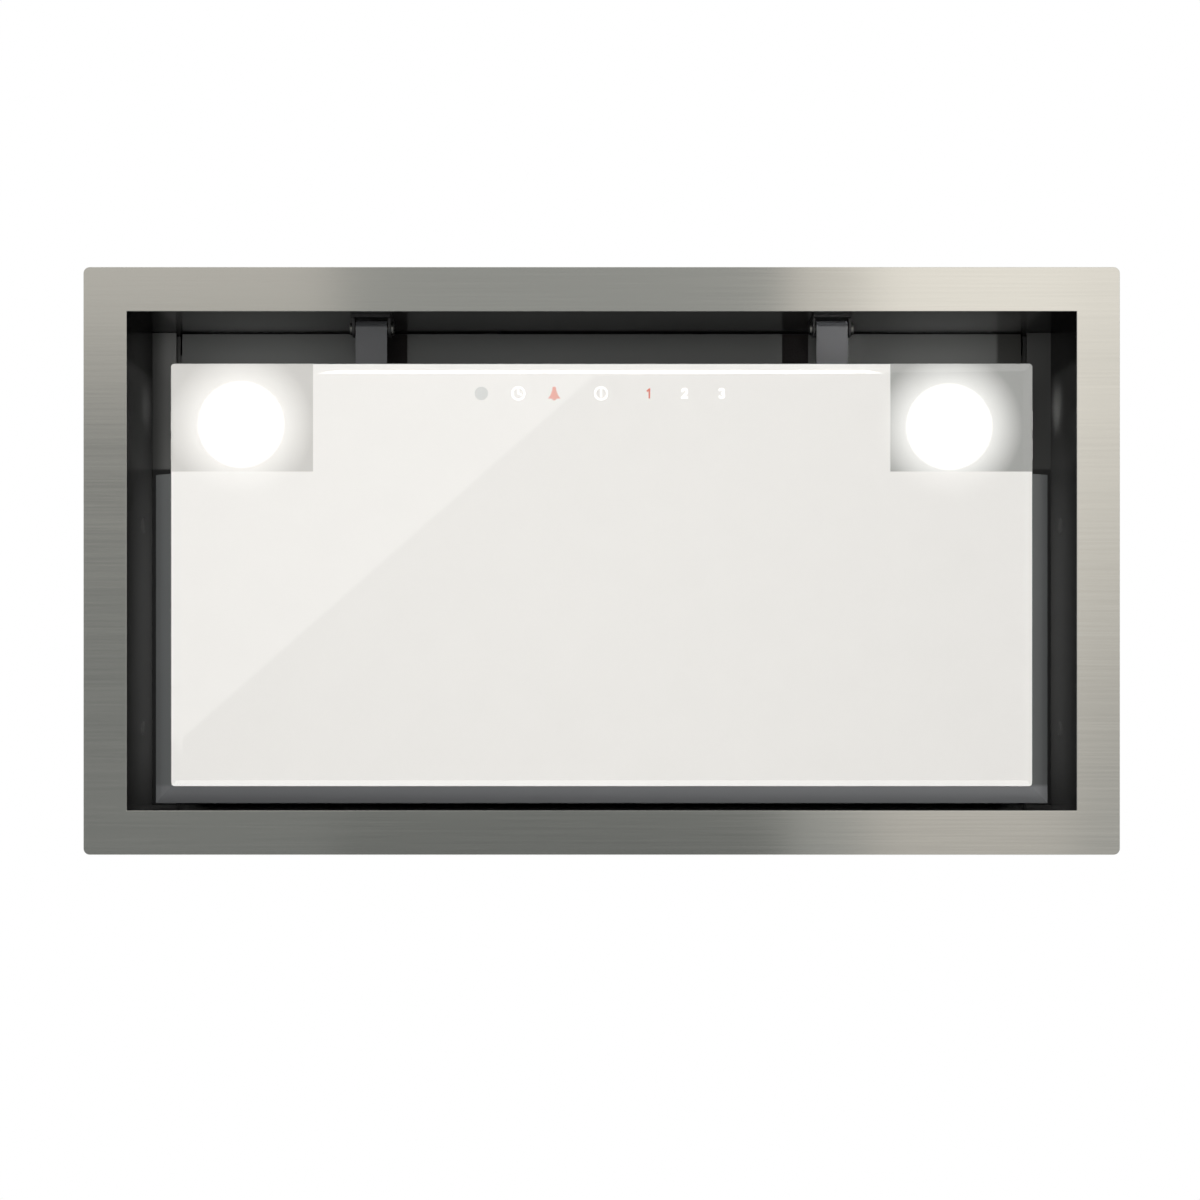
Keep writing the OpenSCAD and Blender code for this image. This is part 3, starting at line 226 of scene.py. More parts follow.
class Graph:
    """The nodes of one material, with short calls for the patterns used here."""

    def __init__(self, name):
        self.material = bpy.data.materials.new(name)
        self.material.use_nodes = True
        self.nodes = self.material.node_tree.nodes
        self.links = self.material.node_tree.links
        self.shader = self.nodes["Principled BSDF"]
        self.place = self.nodes.new("ShaderNodeTexCoord").outputs["Object"]

    def feed(self, value, socket):
        if isinstance(value, bpy.types.NodeSocket):
            self.links.new(value, socket)
        elif isinstance(value, tuple) and socket.type == "RGBA":
            socket.default_value = (*value, 1.0)
        else:
            socket.default_value = value

    def set(self, **values):
        for name, value in values.items():
            self.feed(value, self.shader.inputs[name.replace("_", " ")])

    def stretched(self, scale):
        node = self.nodes.new("ShaderNodeMapping")
        node.inputs["Scale"].default_value = scale
        self.links.new(self.place, node.inputs["Vector"])
        return node.outputs["Vector"]

    def noise(self, scale, detail=3.0, roughness=0.5, stretch=(1, 1, 1)):
        node = self.nodes.new("ShaderNodeTexNoise")
        self.links.new(self.stretched(stretch), node.inputs["Vector"])
        node.inputs["Scale"].default_value = scale
        node.inputs["Detail"].default_value = detail
        node.inputs["Roughness"].default_value = roughness
        return node.outputs["Fac"]

    def cells(self, scale, output="Color", feature="F1", stretch=(1, 1, 1)):
        node = self.nodes.new("ShaderNodeTexVoronoi")
        node.feature = feature
        self.links.new(self.stretched(stretch), node.inputs["Vector"])
        node.inputs["Scale"].default_value = scale
        return node.outputs[output]

    def math(self, operation, a, b=0.0, c=0.0):
        node = self.nodes.new("ShaderNodeMath")
        node.operation = operation
        for value, socket in zip((a, b, c), node.inputs):
            self.feed(value, socket)
        return node.outputs[0]

    def axis(self, name):
        node = self.nodes.new("ShaderNodeSeparateXYZ")
        self.links.new(self.place, node.inputs[0])
        return node.outputs[name]

    def between(self, value, low, high, start=0.0, end=1.0, smooth=True):
        """Goes from start at low to end at high and stays there outside."""
        node = self.nodes.new("ShaderNodeMapRange")
        node.interpolation_type = "SMOOTHSTEP" if smooth else "LINEAR"
        for part, socket in zip((value, low, high, start, end), node.inputs):
            self.feed(part, socket)
        return node.outputs[0]

    def blend(self, factor, a, b):
        node = self.nodes.new("ShaderNodeMix")
        node.data_type = "RGBA"
        self.feed(factor, node.inputs["Factor"])
        colours = [socket for socket in node.inputs if socket.type == "RGBA"]
        self.feed(a, colours[0])
        self.feed(b, colours[1])
        return next(socket for socket in node.outputs if socket.type == "RGBA")

    def shade(self, colour, factor, low, high):
        """The colour, times a value that goes from low to high with the factor."""
        dark = tuple(min(1.0, c * low) for c in colour)
        light = tuple(min(1.0, c * high) for c in colour)
        return self.blend(factor, dark, light)

    def bump(self, height, distance, strength=1.0):
        node = self.nodes.new("ShaderNodeBump")
        node.inputs["Strength"].default_value = strength
        node.inputs["Distance"].default_value = distance
        self.links.new(height, node.inputs["Height"])
        self.links.new(node.outputs["Normal"], self.shader.inputs["Normal"])

    def from_point(self, place):
        """Distance from a vertical axis at the given place."""
        across = self.math("SUBTRACT", self.axis("X"), place[0])
        along = self.math("SUBTRACT", self.axis("Y"), place[1])
        both = self.math("ADD", self.math("MULTIPLY", across, across), self.math("MULTIPLY", along, along))
        return self.math("SQRT", both)

    def see_through_for_light(self, shader_output):
        """Shadow and diffuse rays pass, so light reaches what lies behind the glass."""
        path = self.nodes.new("ShaderNodeLightPath")
        clear = self.nodes.new("ShaderNodeBsdfTransparent")
        mix = self.nodes.new("ShaderNodeMixShader")
        passing = self.math("MAXIMUM", path.outputs["Is Shadow Ray"], path.outputs["Is Diffuse Ray"])
        self.links.new(passing, mix.inputs[0])
        self.links.new(shader_output, mix.inputs[1])
        self.links.new(clear.outputs[0], mix.inputs[2])
        self.links.new(mix.outputs[0], self.nodes["Material Output"].inputs["Surface"])


# Materials, one function each

def flange_steel():
    g = Graph("flange_steel")
    streaks = g.noise(900, detail=4, roughness=0.7, stretch=(0.012, 1, 1))
    wide = g.noise(40, detail=2, stretch=(0.05, 1, 1))
    g.set(Base_Color=g.shade((0.645, 0.645, 0.61), streaks, 0.90, 1.09), Metallic=1.0)
    g.set(Roughness=g.between(g.math("ADD", streaks, wide), 0.7, 1.3, 0.15, 0.22, smooth=False))
    g.set(Anisotropic=0.9)
    tangent = g.nodes.new("ShaderNodeTangent")
    tangent.direction_type = "RADIAL"
    tangent.axis = "X"
    g.links.new(tangent.outputs[0], g.shader.inputs["Tangent"])
    g.bump(streaks, 0.01 * MM, 0.5)
    return g.material


def painted(name, colour, peel=700, roughness=0.5, depth=0.03, metallic=0.0):
    g = Graph(name)
    patches = g.noise(9, detail=4)
    grains = g.noise(peel, detail=2)
    g.set(Base_Color=g.shade(colour, patches, 0.88, 1.12), Metallic=metallic)
    g.set(Roughness=g.between(patches, 0.3, 0.7, roughness - 0.05, roughness + 0.06))
    g.bump(grains, depth * MM, 0.6)
    return g.material


def casing_paint():
    """Satin outside. Inside it is darker and so smooth that it mirrors. Its front corners are painted near
    black, with their reflection turned down, as painted shade.
    """
    g = Graph("casing_paint")
    patches = g.noise(9, detail=4)
    x, y = g.math("ABSOLUTE", g.axis("X")), g.math("ABSOLUTE", g.axis("Y"))
    beyond_x = g.math("GREATER_THAN", x, INNER_X + SHEET / 2)
    beyond_y = g.math("GREATER_THAN", y, INNER_Y + SHEET / 2)
    outside = g.math("MAXIMUM", beyond_x, beyond_y)
    inner = g.shade((0.036, 0.036, 0.035), patches, 0.85, 1.15)
    outer = g.shade((0.085, 0.088, 0.090), patches, 0.85, 1.15)
    # Painted shade: the inner walls' front corners are painted near black and reflect less.
    aside = g.between(x, INNER_X - PAINTED_SHADE_CORNER_X[0], INNER_X - PAINTED_SHADE_CORNER_X[1])
    in_front = g.between(g.axis("Y"), PAINTED_SHADE_CORNER_Y[0] - INNER_Y, PAINTED_SHADE_CORNER_Y[1] - INNER_Y)
    corner = g.math("MULTIPLY", g.math("MULTIPLY", aside, in_front), g.math("SUBTRACT", 1.0, outside))
    g.set(Base_Color=g.blend(corner, g.blend(outside, inner, outer), (0.004, 0.004, 0.004)))
    g.set(Specular_IOR_Level=g.between(corner, 0, 1, 0.5, 0.08))
    satin = g.between(patches, 0.3, 0.7, 0.17, 0.23)
    g.set(Roughness=g.math("MULTIPLY_ADD", outside, OUTSIDE_ROUGHER, satin))
    g.bump(g.noise(300, detail=1), 0.004 * MM, 0.4)
    return g.material


def tray_paint():
    """Grey paint. The rim behind the glass is painted lighter as painted light, more so to the right."""
    g = Graph("panel_grey")
    patches = g.noise(9, detail=4)
    # Painted light on the rear rim, brighter from left to right.
    rim = g.shade((0.138, 0.141, 0.145), g.between(g.axis("X"), -RIM_X, RIM_X, smooth=False), 0.95, 1.3)
    base = g.shade((0.094, 0.098, 0.098), patches, 0.88, 1.12)
    painted_light_rim = g.between(g.axis("Y"), GLASS_HIGH.y - RIM_BLUR, GLASS_HIGH.y + RIM_BLUR)
    g.set(Base_Color=g.blend(painted_light_rim, base, rim))
    g.set(Roughness=g.between(patches, 0.3, 0.7, 0.37, 0.48))
    g.bump(g.noise(900, detail=2), 0.03 * MM, 0.6)
    return g.material


def ceiling_paint():
    """Satin paint. Its front right corner, beside the right slot, is painted darker as painted shade."""
    g = Graph("ceiling_paint")
    patches = g.noise(9, detail=4)
    # Painted shade: a dark patch in the front right corner, beside the right slot.
    step = g.between(g.axis("X"), *CEILING_SHADE_X)
    step = g.math("MULTIPLY", step, g.between(g.axis("Y"), *CEILING_SHADE_Y, 1.0, 0.0))
    light = g.shade((0.058, 0.059, 0.057), patches, 0.88, 1.12)
    g.set(Base_Color=g.blend(step, light, (0.013, 0.013, 0.012)))
    g.set(Roughness=g.between(patches, 0.3, 0.7, 0.35, 0.46))
    g.bump(g.noise(800, detail=2), 0.03 * MM, 0.6)
    return g.material


def rail_paint():
    """Like the ceiling, but darker. It has painted light, lighter near the left lamp, and painted shade,
    black beside the tray.
    """
    g = Graph("rail_paint")
    patches = g.noise(14, detail=4)
    # Painted light: a lighter strip at the left end, near the left lamp.
    painted_lamp_light = g.between(g.axis("X"), -INNER_X, RAIL_PAINTED_LIGHT_W - INNER_X)
    painted_lamp_light = g.math("MULTIPLY", painted_lamp_light, g.between(g.axis("X"), 0, 1 * MM, 1.0, 0.0))
    front = g.blend(painted_lamp_light, g.shade((0.030, 0.030, 0.029), patches, 0.85, 1.15), (0.085, 0.085, 0.082))
    # Painted shade: the rail is near black from beside the tray to the rear.
    rear = g.shade((0.008, 0.008, 0.008), patches, 0.85, 1.15)
    g.set(Base_Color=g.blend(g.between(g.axis("Y"), *RAIL_PAINTED_SHADE_Y), front, rear))
    g.set(Roughness=g.between(patches, 0.3, 0.7, 0.4, 0.5))
    g.bump(g.noise(800, detail=2), 0.02 * MM, 0.6)
    return g.material


def zinc_sheet(name="zinc_sheet", colour=(0.42, 0.43, 0.44)):
    g = Graph(name)
    spangle = g.cells(110)
    grey = g.nodes.new("ShaderNodeRGBToBW")
    g.links.new(spangle, grey.inputs[0])
    patches = g.noise(15, detail=3)
    fleck = g.math("MULTIPLY_ADD", grey.outputs[0], 0.5, patches)
    g.set(Base_Color=g.shade(colour, fleck, 0.8, 1.15))
    g.set(Metallic=0.85, Roughness=g.between(grey.outputs[0], 0.1, 0.9, 0.36, 0.52))
    g.bump(g.noise(400, detail=2), 0.015 * MM, 0.5)
    return g.material


def bright_zinc():
    g = Graph("bright_zinc")
    patches = g.noise(120, detail=4)
    g.set(Base_Color=g.shade((0.72, 0.73, 0.74), patches, 0.85, 1.08), Metallic=1.0)
    g.set(Roughness=g.between(patches, 0.3, 0.7, 0.18, 0.34))
    g.bump(g.noise(1200, detail=2), 0.01 * MM, 0.4)
    return g.material


def clear_glass():
    g = Graph("clear_glass")
    ripple = g.noise(14, detail=1)
    g.set(Base_Color=g.shade((0.985, 0.99, 0.985), ripple, 0.995, 1.0))
    g.set(Roughness=0.0, IOR=1.5, Transmission_Weight=1.0)
    g.see_through_for_light(g.shader.outputs[0])
    return g.material


def white_print():
    g = Graph("white_print")
    mottle = g.noise(60, detail=3)
    far = g.math("MINIMUM", g.from_point(LEFT_SPOT), g.from_point(RIGHT_SPOT))
    g.set(Base_Color=g.shade((0.932, 0.908, 0.876), mottle, 0.985, 1.01))
    g.set(Roughness=g.between(mottle, 0.3, 0.7, 0.45, 0.55))
    # Painted light: the print emits a glow round each lamp that fades out with distance.
    glow = g.between(far, LENS_R, PRINT_PAINTED_GLOW_R, PRINT_PAINTED_GLOW, 0.0)
    g.set(Emission_Color=GLOW_COLOUR, Emission_Strength=glow)
    return g.material


def opal_plastic(name, colour, painted_inner_shade, spot, glow):
    """Frosted plastic with painted light: an emitted bright disc and a glow that fades out stand in for the
    lamp behind it.
    """
    g = Graph(name)
    mottle = g.noise(90, detail=3)
    far = g.from_point(spot)
    painted_core = g.between(far, LENS_R - CORE_FADE[0], LENS_R + CORE_FADE[1], 1.0, 0.0)
    painted_halo = g.between(far, LENS_R, GLOW_R, glow, 0.0, smooth=False)
    # The inner edge is painted darker or lighter per plate, by painted_inner_shade, as painted shade and
    # light.
    inwards = g.between(g.math("ABSOLUTE", g.axis("X")), WINDOW_X, GLASS_HIGH.x, 1.0, 0.0, smooth=False)
    g.set(Base_Color=g.shade(colour, inwards, 1.0, painted_inner_shade))
    g.set(Roughness=g.between(mottle, 0.3, 0.7, 0.55, 0.65))
    g.set(Emission_Color=GLOW_COLOUR, Emission_Strength=g.math("ADD", painted_core, painted_halo))
    return g.material


def moulded(name, colour, roughness=0.55, grain=1500):
    g = Graph(name)
    patches = g.noise(25, detail=3)
    grains = g.noise(grain, detail=2)
    g.set(Base_Color=g.shade(colour, patches, 0.9, 1.1))
    g.set(Roughness=g.between(grains, 0.3, 0.7, roughness - 0.06, roughness + 0.06))
    g.bump(grains, 0.02 * MM, 0.6)
    return g.material


def satin_metal(name, colour, roughness=0.35, stretch=(1, 1, 1)):
    g = Graph(name)
    grain = g.noise(700, detail=3, roughness=0.6, stretch=stretch)
    patches = g.noise(20, detail=3)
    g.set(Base_Color=g.shade(colour, patches, 0.92, 1.05), Metallic=1.0)
    g.set(Roughness=g.between(grain, 0.3, 0.7, roughness - 0.07, roughness + 0.07))
    g.bump(grain, 0.01 * MM, 0.5)
    return g.material


def lamp_lens():
    g = Graph("lamp_lens")
    dots = g.cells(900, output="Distance")
    g.set(Base_Color=g.shade((0.95, 0.96, 0.97), dots, 0.94, 1.0), Roughness=0.4)
    g.set(Emission_Color=(1.0, 0.985, 0.955), Emission_Strength=g.between(dots, 0.0, 1.0, 5.0, 5.6))
    g.bump(dots, 0.05 * MM, 0.5)
    return g.material


def solder_mask():
    g = Graph("board_green")
    tracks = g.cells(260, output="Distance", feature="DISTANCE_TO_EDGE", stretch=(1, 1, 0.01))
    on_track = g.between(tracks, 0.04, 0.08, 1.0, 0.0)
    g.set(Base_Color=g.blend(on_track, (0.03, 0.14, 0.06), (0.05, 0.22, 0.09)), Roughness=0.35)
    g.bump(on_track, 0.03 * MM, 0.6)
    return g.material


def expanded_mesh():
    """Aluminium strands with dark gaps between them."""
    g = Graph("filter_mesh_metal")
    edge = g.cells(420, output="Distance", feature="DISTANCE_TO_EDGE", stretch=(1, 0.6, 1))
    strand = g.between(edge, 0.1, 0.18, 1.0, 0.0)
    g.set(Base_Color=g.blend(strand, (0.10, 0.10, 0.10), (0.66, 0.67, 0.67)))
    g.set(Metallic=g.between(strand, 0, 1, 0.6, 1.0), Roughness=g.between(strand, 0, 1, 0.7, 0.32))
    g.bump(strand, 0.3 * MM, 0.8)
    return g.material


def icon_ink(name, colour, glow):
    g = Graph(name)
    fleck = g.noise(3000, detail=2)
    g.set(Base_Color=g.shade(colour, fleck, 0.96, 1.03), Roughness=g.between(fleck, 0.3, 0.7, 0.4, 0.5))
    g.set(Emission_Color=colour, Emission_Strength=glow)
    return g.material


MATERIALS = {
    "flange_steel": flange_steel(),
    "casing_paint": casing_paint(),
    "ceiling_paint": ceiling_paint(),
    "arm_paint": painted("arm_paint", (0.092, 0.094, 0.099), peel=900, roughness=0.23, metallic=0.6),
    "zinc_sheet": zinc_sheet(),
    "bright_zinc": bright_zinc(),
    "panel_grey": tray_paint(),
    "board_green": solder_mask(),
    "black_plastic": moulded("black_plastic", (0.025, 0.026, 0.028)),
    "magnet_black": moulded("magnet_black", (0.05, 0.05, 0.055), roughness=0.65, grain=900),
    "lamp_satin": satin_metal("lamp_satin", (0.78, 0.79, 0.80)),
    "lamp_lens": lamp_lens(),
    "heat_sink": satin_metal("heat_sink", (0.70, 0.71, 0.72), roughness=0.4),
    "filter_aluminium": satin_metal("filter_aluminium", (0.66, 0.67, 0.67), stretch=(0.05, 1, 1)),
    "filter_wire": satin_metal("filter_wire", (0.66, 0.66, 0.66), roughness=0.28),
    "spring_steel": satin_metal("spring_steel", (0.36, 0.38, 0.42), roughness=0.3),
    "scroll_plastic": moulded("scroll_plastic", (0.05, 0.052, 0.055), roughness=0.5),
    "wheel_zinc": zinc_sheet("wheel_zinc", (0.62, 0.63, 0.64)),
    "motor_case": painted("motor_case", (0.30, 0.31, 0.32), roughness=0.4),
    "bush_rubber": moulded("bush_rubber", (0.03, 0.03, 0.03), roughness=0.75),
    "collar_plastic": moulded("collar_plastic", (0.045, 0.047, 0.05), roughness=0.5),
    "flap_plastic": moulded("flap_plastic", (0.20, 0.21, 0.22), roughness=0.45),
    "capacitor_case": moulded("capacitor_case", (0.86, 0.86, 0.84), roughness=0.3),
    "white_glass": clear_glass(),
}
RAIL_PAINT = rail_paint()
BRACKET_PAINT = painted("bracket_black", (0.012, 0.012, 0.012), roughness=0.5)
OWN_MATERIAL = {
    "filter_mesh": expanded_mesh(),
    "left_rail": RAIL_PAINT,
    "right_rail": RAIL_PAINT,
    "hinge_bracket_left": BRACKET_PAINT,
    "hinge_bracket_right": BRACKET_PAINT,
    "hinge_pins": satin_metal("pin_steel", (0.26, 0.26, 0.25), roughness=0.35),
}

# How far the sharp edges of each CAD node are rounded, in millimetres

EDGE_ROUNDING = {
    "trim_frame": 0.25, "front_wall": 0.25, "rear_wall": 0.25, "left_side": 0.25, "right_side": 0.25,
    "top_plate": 0.25, "suction_plate": 0.25, "left_rail": 0.25, "right_rail": 0.25, "panel_tray": 0.25,
    "hinge_arm_left": 0.4, "hinge_arm_right": 0.4, "hinge_bracket_left": 0.25, "hinge_bracket_right": 0.25,
    "touch_housing": 0.5, "electronics_box": 0.6, "electronics_lid": 0.6, "lamp_housing_left": 0.4,
    "lamp_housing_right": 0.4, "filter_frame": 0.35, "motor_bracket": 0.4, "duct_collar": 0.3,
    "collar_base": 0.4, "cable_gland": 0.3, "scroll_left": 0.4, "scroll_right": 0.4,
}


def flat_faces_first(piece, keep_sharp=False):
    """Shades large faces flat and lets only the small ones next to them look rounded."""
    weighted = piece.modifiers.new("flat_faces_first", "WEIGHTED_NORMAL")
    weighted.mode = "FACE_AREA"
    weighted.weight = 100
    weighted.keep_sharp = keep_sharp


def dress_cad_nodes():
    """Gives each CAD node its slot's material and softens its sharp edges."""
    slots = {part["node"]: part["material_slot"] for part in frame["record"]["subparts"]}
    for name, node in frame["nodes"].items():
        material = OWN_MATERIAL.get(name, MATERIALS[slots[name]])
        node.data.materials.clear()
        node.data.materials.append(material)
        if name in EDGE_ROUNDING:
            weld = node.modifiers.new("weld", "WELD")
            weld.merge_threshold = SAME_POINT
            merge = node.modifiers.new("flat_faces", "DECIMATE")
            merge.decimate_type = "DISSOLVE"
            merge.angle_limit = FLAT_ANGLE
            bevel = node.modifiers.new("rounded_edges", "BEVEL")
            bevel.width = EDGE_ROUNDING[name] * MM
            bevel.segments = 2
            bevel.limit_method = "ANGLE"
            bevel.angle_limit = BEVEL_ANGLE
            bevel.use_clamp_overlap = True
            flat_faces_first(node)


# Mesh helpers

def new_piece(name, mesh, material, body):
    piece = bpy.data.objects.new(name, mesh)
    bpy.context.collection.objects.link(piece)
    piece.data.materials.append(material)
    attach(piece, body)
    return piece


def mesh_of(name, points, faces, smooth=False):
    mesh = bpy.data.meshes.new(name)
    mesh.from_pydata(points, [], faces)
    mesh.update()
    if smooth:
        mesh.polygons.foreach_set("use_smooth", [True] * len(mesh.polygons))
    return mesh


def arc(x, y, r, start, end, steps):
    """Points on a circle about (x, y), from one angle in degrees to another."""
    angles = [math.radians(start + (end - start) * i / steps) for i in range(steps + 1)]
    return [(x + r * math.cos(a), y + r * math.sin(a)) for a in angles]


def rounded_outline(low, high, r, steps=6):
    """A rectangle with round corners, anticlockwise from the corner at high x and low y."""
    corners = [(high[0] - r, low[1] + r, -90), (high[0] - r, high[1] - r, 0),
               (low[0] + r, high[1] - r, 90), (low[0] + r, low[1] + r, 180)]
    return [p for x, y, a in corners for p in arc(x, y, r, a, a + 90, steps)]


def stacked(rings):
    """A closed solid through rings of equal length, given as (outline, z) from low to high."""
    count = len(rings[0][0])
    points = [(x, y, z) for outline, z in rings for x, y in outline]
    faces = [tuple(reversed(range(count)))]
    for level in range(len(rings) - 1):
        for i in range(count):
            j = (i + 1) % count
            a, b = level * count, (level + 1) * count
            faces.append((a + i, a + j, b + j, b + i))
    faces.append(tuple((len(rings) - 1) * count + i for i in range(count)))
    return points, faces


def plate(name, outline, z0, z1):
    """A thin plate with the outline of (x, y) points, anticlockwise from above."""
    points, faces = stacked([(outline, z0), (outline, z1)])
    return mesh_of(name, points, faces)


def turned(name, profile, place, steps=20):
    """Turns (radius, height) points, the first and last at radius 0. place maps (u, v, height)."""
    points, rings = [], []
    for r, h in profile:
        count = steps if r else 1
        rings.append([len(points) + i for i in range(count)])
        points += [place(*p, h) for p in arc(0, 0, r, 0, 360 - 360 / count, max(count - 1, 1))[:count]]
    faces = []
    for a, b in zip(rings, rings[1:]):
        for i in range(steps):
            j = (i + 1) % steps
            face = (a[i % len(a)], a[j % len(a)], b[j % len(b)], b[i % len(b)])
            faces.append(tuple(dict.fromkeys(face)))
    return mesh_of(name, points, faces)


def joined(name, meshes):
    """One mesh that holds several closed ones, with all their faces turned outwards."""
    made = bmesh.new()
    for mesh in meshes:
        made.from_mesh(mesh)
        bpy.data.meshes.remove(mesh)
    bmesh.ops.recalc_face_normals(made, faces=made.faces)
    whole = bpy.data.meshes.new(name)
    made.to_mesh(whole)
    made.free()
    return whole


# The glass panel: a clear bevelled slab with its print behind it

def inset(low, high, by):
    return (low[0] + by, low[1] + by), (high[0] - by, high[1] - by)


def build_glass():
    low, high = GLASS_LOW, GLASS_HIGH
    full = rounded_outline(low, high, GLASS_R)
    rings = []
    for i in range(ROLL_STEPS, -1, -1):
        turn = i / ROLL_STEPS
        outline = rounded_outline(*inset(low, high, BEVEL_W + ROLL_W * turn), ROLL_R)
        rings.append((outline, low.z + ROLL_H * (1 - turn) ** 2))
    points, faces = stacked(rings + [(full, low.z + ROLL_H + BEVEL_H), (full, GLASS_TOP)])
    mesh = mesh_of("glass_slab", points, faces, smooth=True)
    mesh.set_sharp_from_angle(angle=SMOOTH_ANGLE)
    slab = new_piece("glass_slab", mesh, MATERIALS["white_glass"], "panel")
    flat_faces_first(slab, keep_sharp=True)
    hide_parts("glass_panel")

    x, y0, y1 = high.x - PRINT_EDGE, low.y + PRINT_EDGE, high.y - PRINT_EDGE
    outline = [(-WINDOW_X, y0), (WINDOW_X, y0), (WINDOW_X, WINDOW_Y), (x, WINDOW_Y), (x, y1), (-x, y1),
               (-x, WINDOW_Y), (-WINDOW_X, WINDOW_Y)]
    mesh = plate("glass_print", outline, PRINT_Z, GLASS_HIGH.z)
    new_piece("glass_print", mesh, white_print(), "panel")


# Opal plates under the lamps, seen through the clear corners of the glass

def holed_plate(name, low, high, centre, r, steps=40):
    """A rectangular plate from corner low to corner high, with a round hole."""
    corners = [math.atan2(y - centre.y, x - centre.x) for x in (low[0], high[0]) for y in (low[1], high[1])]
    inner, outer = [], []
    for turn in sorted(corners + [math.pi * (2 * i / steps - 1) for i in range(steps)]):
        dx, dy = math.cos(turn), math.sin(turn)
        reach_x = ((high[0] if dx > 0 else low[0]) - centre.x) / dx if abs(dx) > 1e-9 else math.inf
        reach_y = ((high[1] if dy > 0 else low[1]) - centre.y) / dy if abs(dy) > 1e-9 else math.inf
        reach = min(reach_x, reach_y)
        inner.append((centre.x + r * dx, centre.y + r * dy))
        outer.append((centre.x + reach * dx, centre.y + reach * dy))
    rings = [(inner, low[2]), (outer, low[2]), (outer, high[2]), (inner, high[2])]
    count = len(inner)
    points = [(x, y, z) for outline, z in rings for x, y in outline]
    faces = []
    for level in range(4):
        a, b = level * count, (level + 1) % 4 * count
        for i in range(count):
            j = (i + 1) % count
            faces.append((a + i, a + j, b + j, b + i))
    return joined(name, [mesh_of(name, points, faces)])


def build_opals():
    """Each plate hangs under its lamp's ring. The lens shines through the plate's hole."""
    z0, z1 = GLASS_HIGH.z + OPAL_GAP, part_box("lamp_bezel_right")[0].z
    y0, y1 = GLASS_LOW.y + OPAL_EDGE, WINDOW_Y
    # Painted shade and light: the right plate is a darker copy of the left one, its inner edge is painted
    # lighter, and the left plate's inner edge is painted darker.
    plates = ((-1, "left", (0.66, 0.64, 0.61), 0.95, LEFT_SPOT, 0.36),
              (1, "right", (0.375, 0.375, 0.36), 1.10, RIGHT_SPOT, 0.60))
    for side, name, colour, painted_inner_shade, spot, glow in plates:
        x0, x1 = sorted((side * WINDOW_X, side * (GLASS_HIGH.x - OPAL_EDGE)))
        mesh = holed_plate(f"lamp_opal_{name}", (x0, y0, z0), (x1, y1, z1), spot, OPAL_HOLE_R)
        material = opal_plastic(f"opal_{name}", colour, painted_inner_shade, spot, glow)
        new_piece(f"lamp_opal_{name}", mesh, material, "casing")


# Touch symbols. They are drawn as (u, v) in millimetres, u to the right and v up as the cook sees them.

def symbol_outline(points, x):
    """From symbol millimetres to the panel's plane, seen from below, so v runs towards the front."""
    placed = [(x + u * MM, KEY_Y - v * MM) for u, v in points]
    return list(reversed(placed))


def disc(u, v, r, steps=24):
    return arc(u, v, r, 0, 360 - 360 / steps, steps - 1)


def bar(u0, v0, u1, v1, width):
    """A straight stroke from one point to another."""
    along = Vector((u1 - u0, v1 - v0)).normalized() * width / 2
    across = Vector((-along.y, along.x))
    a, b = Vector((u0, v0)) - along, Vector((u1, v1)) + along
    return [tuple(a - across), tuple(b - across), tuple(b + across), tuple(a + across)]


def ring_strokes(u, v, r, width, start=0, end=360, steps=28):
    """A curved stroke as short overlapping bars."""
    points = arc(u, v, r, start, end, steps)
    return [bar(*points[i], *points[i + 1], width) for i in range(steps)]


def digit_strokes(digit, width):
    if digit == 1:
        return [bar(0.2, -2.0, 0.2, 2.0, width), bar(-0.7, 1.2, 0.2, 2.0, width)]
    if digit == 2:
        return (ring_strokes(0, 0.9, 1.15, width, 170, -40, 12)
                + [bar(0.9, 0.1, -1.1, -2.0, width), bar(-1.1, -2.0, 1.2, -2.0, width)])
    return (ring_strokes(0, 1.0, 1.05, width, 150, -80, 12)
            + ring_strokes(0, -0.95, 1.1, width, 80, -150, 12))


def build_symbols():
    white = icon_ink("symbol_white", (0.98, 0.98, 0.97), 0.6)
    red = icon_ink("symbol_red", (0.80, 0.24, 0.17), 0.0)
    pink = icon_ink("symbol_pink", (0.86, 0.42, 0.35), 0.0)
    grey = icon_ink("symbol_grey", (0.71, 0.71, 0.69), 0.0)
    bell = [(0, 3.2), (0.8, 3.0), (0.9, 1.6), (1.9, -1.0), (3.0, -2.4), (1.0, -2.5), (0.5, -3.3),
            (-0.5, -3.3), (-1.0, -2.5), (-3.0, -2.4), (-1.9, -1.0), (-0.9, 1.6), (-0.8, 3.0)]
    ring = ring_strokes(0, 0, KEY_RING_R, KEY_STROKE)
    clock = ring + [bar(0, 0, 0, 1.7, HAND_STROKE), bar(0, 0, 1.3, -0.5, HAND_STROKE)]
    lamp = ring + [bar(0, -1.2, 0, 1.4, FIGURE_STROKE)]
    keys = [
        ("key_power", -57.3, grey, [disc(0, 0, 3.2)]),
        ("key_clock", -39.7, white, clock),
        ("key_bell", -22.6, pink, [list(reversed(bell))]),
        ("key_lamp", -0.3, white, lamp),
        ("key_speed_1", 22.5, red, digit_strokes(1, FIGURE_STROKE)),
        ("key_speed_2", 39.5, white, digit_strokes(2, FIGURE_STROKE)),
        ("key_speed_3", 57.1, white, digit_strokes(3, FIGURE_STROKE)),
    ]
    for name, x, ink, shapes in keys:
        meshes = []
        for i, shape in enumerate(shapes):
            outline = symbol_outline(shape, x * MM)
            meshes.append(plate(name, outline, ICON_Z + ICON_RISE * i, PRINT_Z - ICON_GAP))
        new_piece(name, joined(name, meshes), ink, "panel")


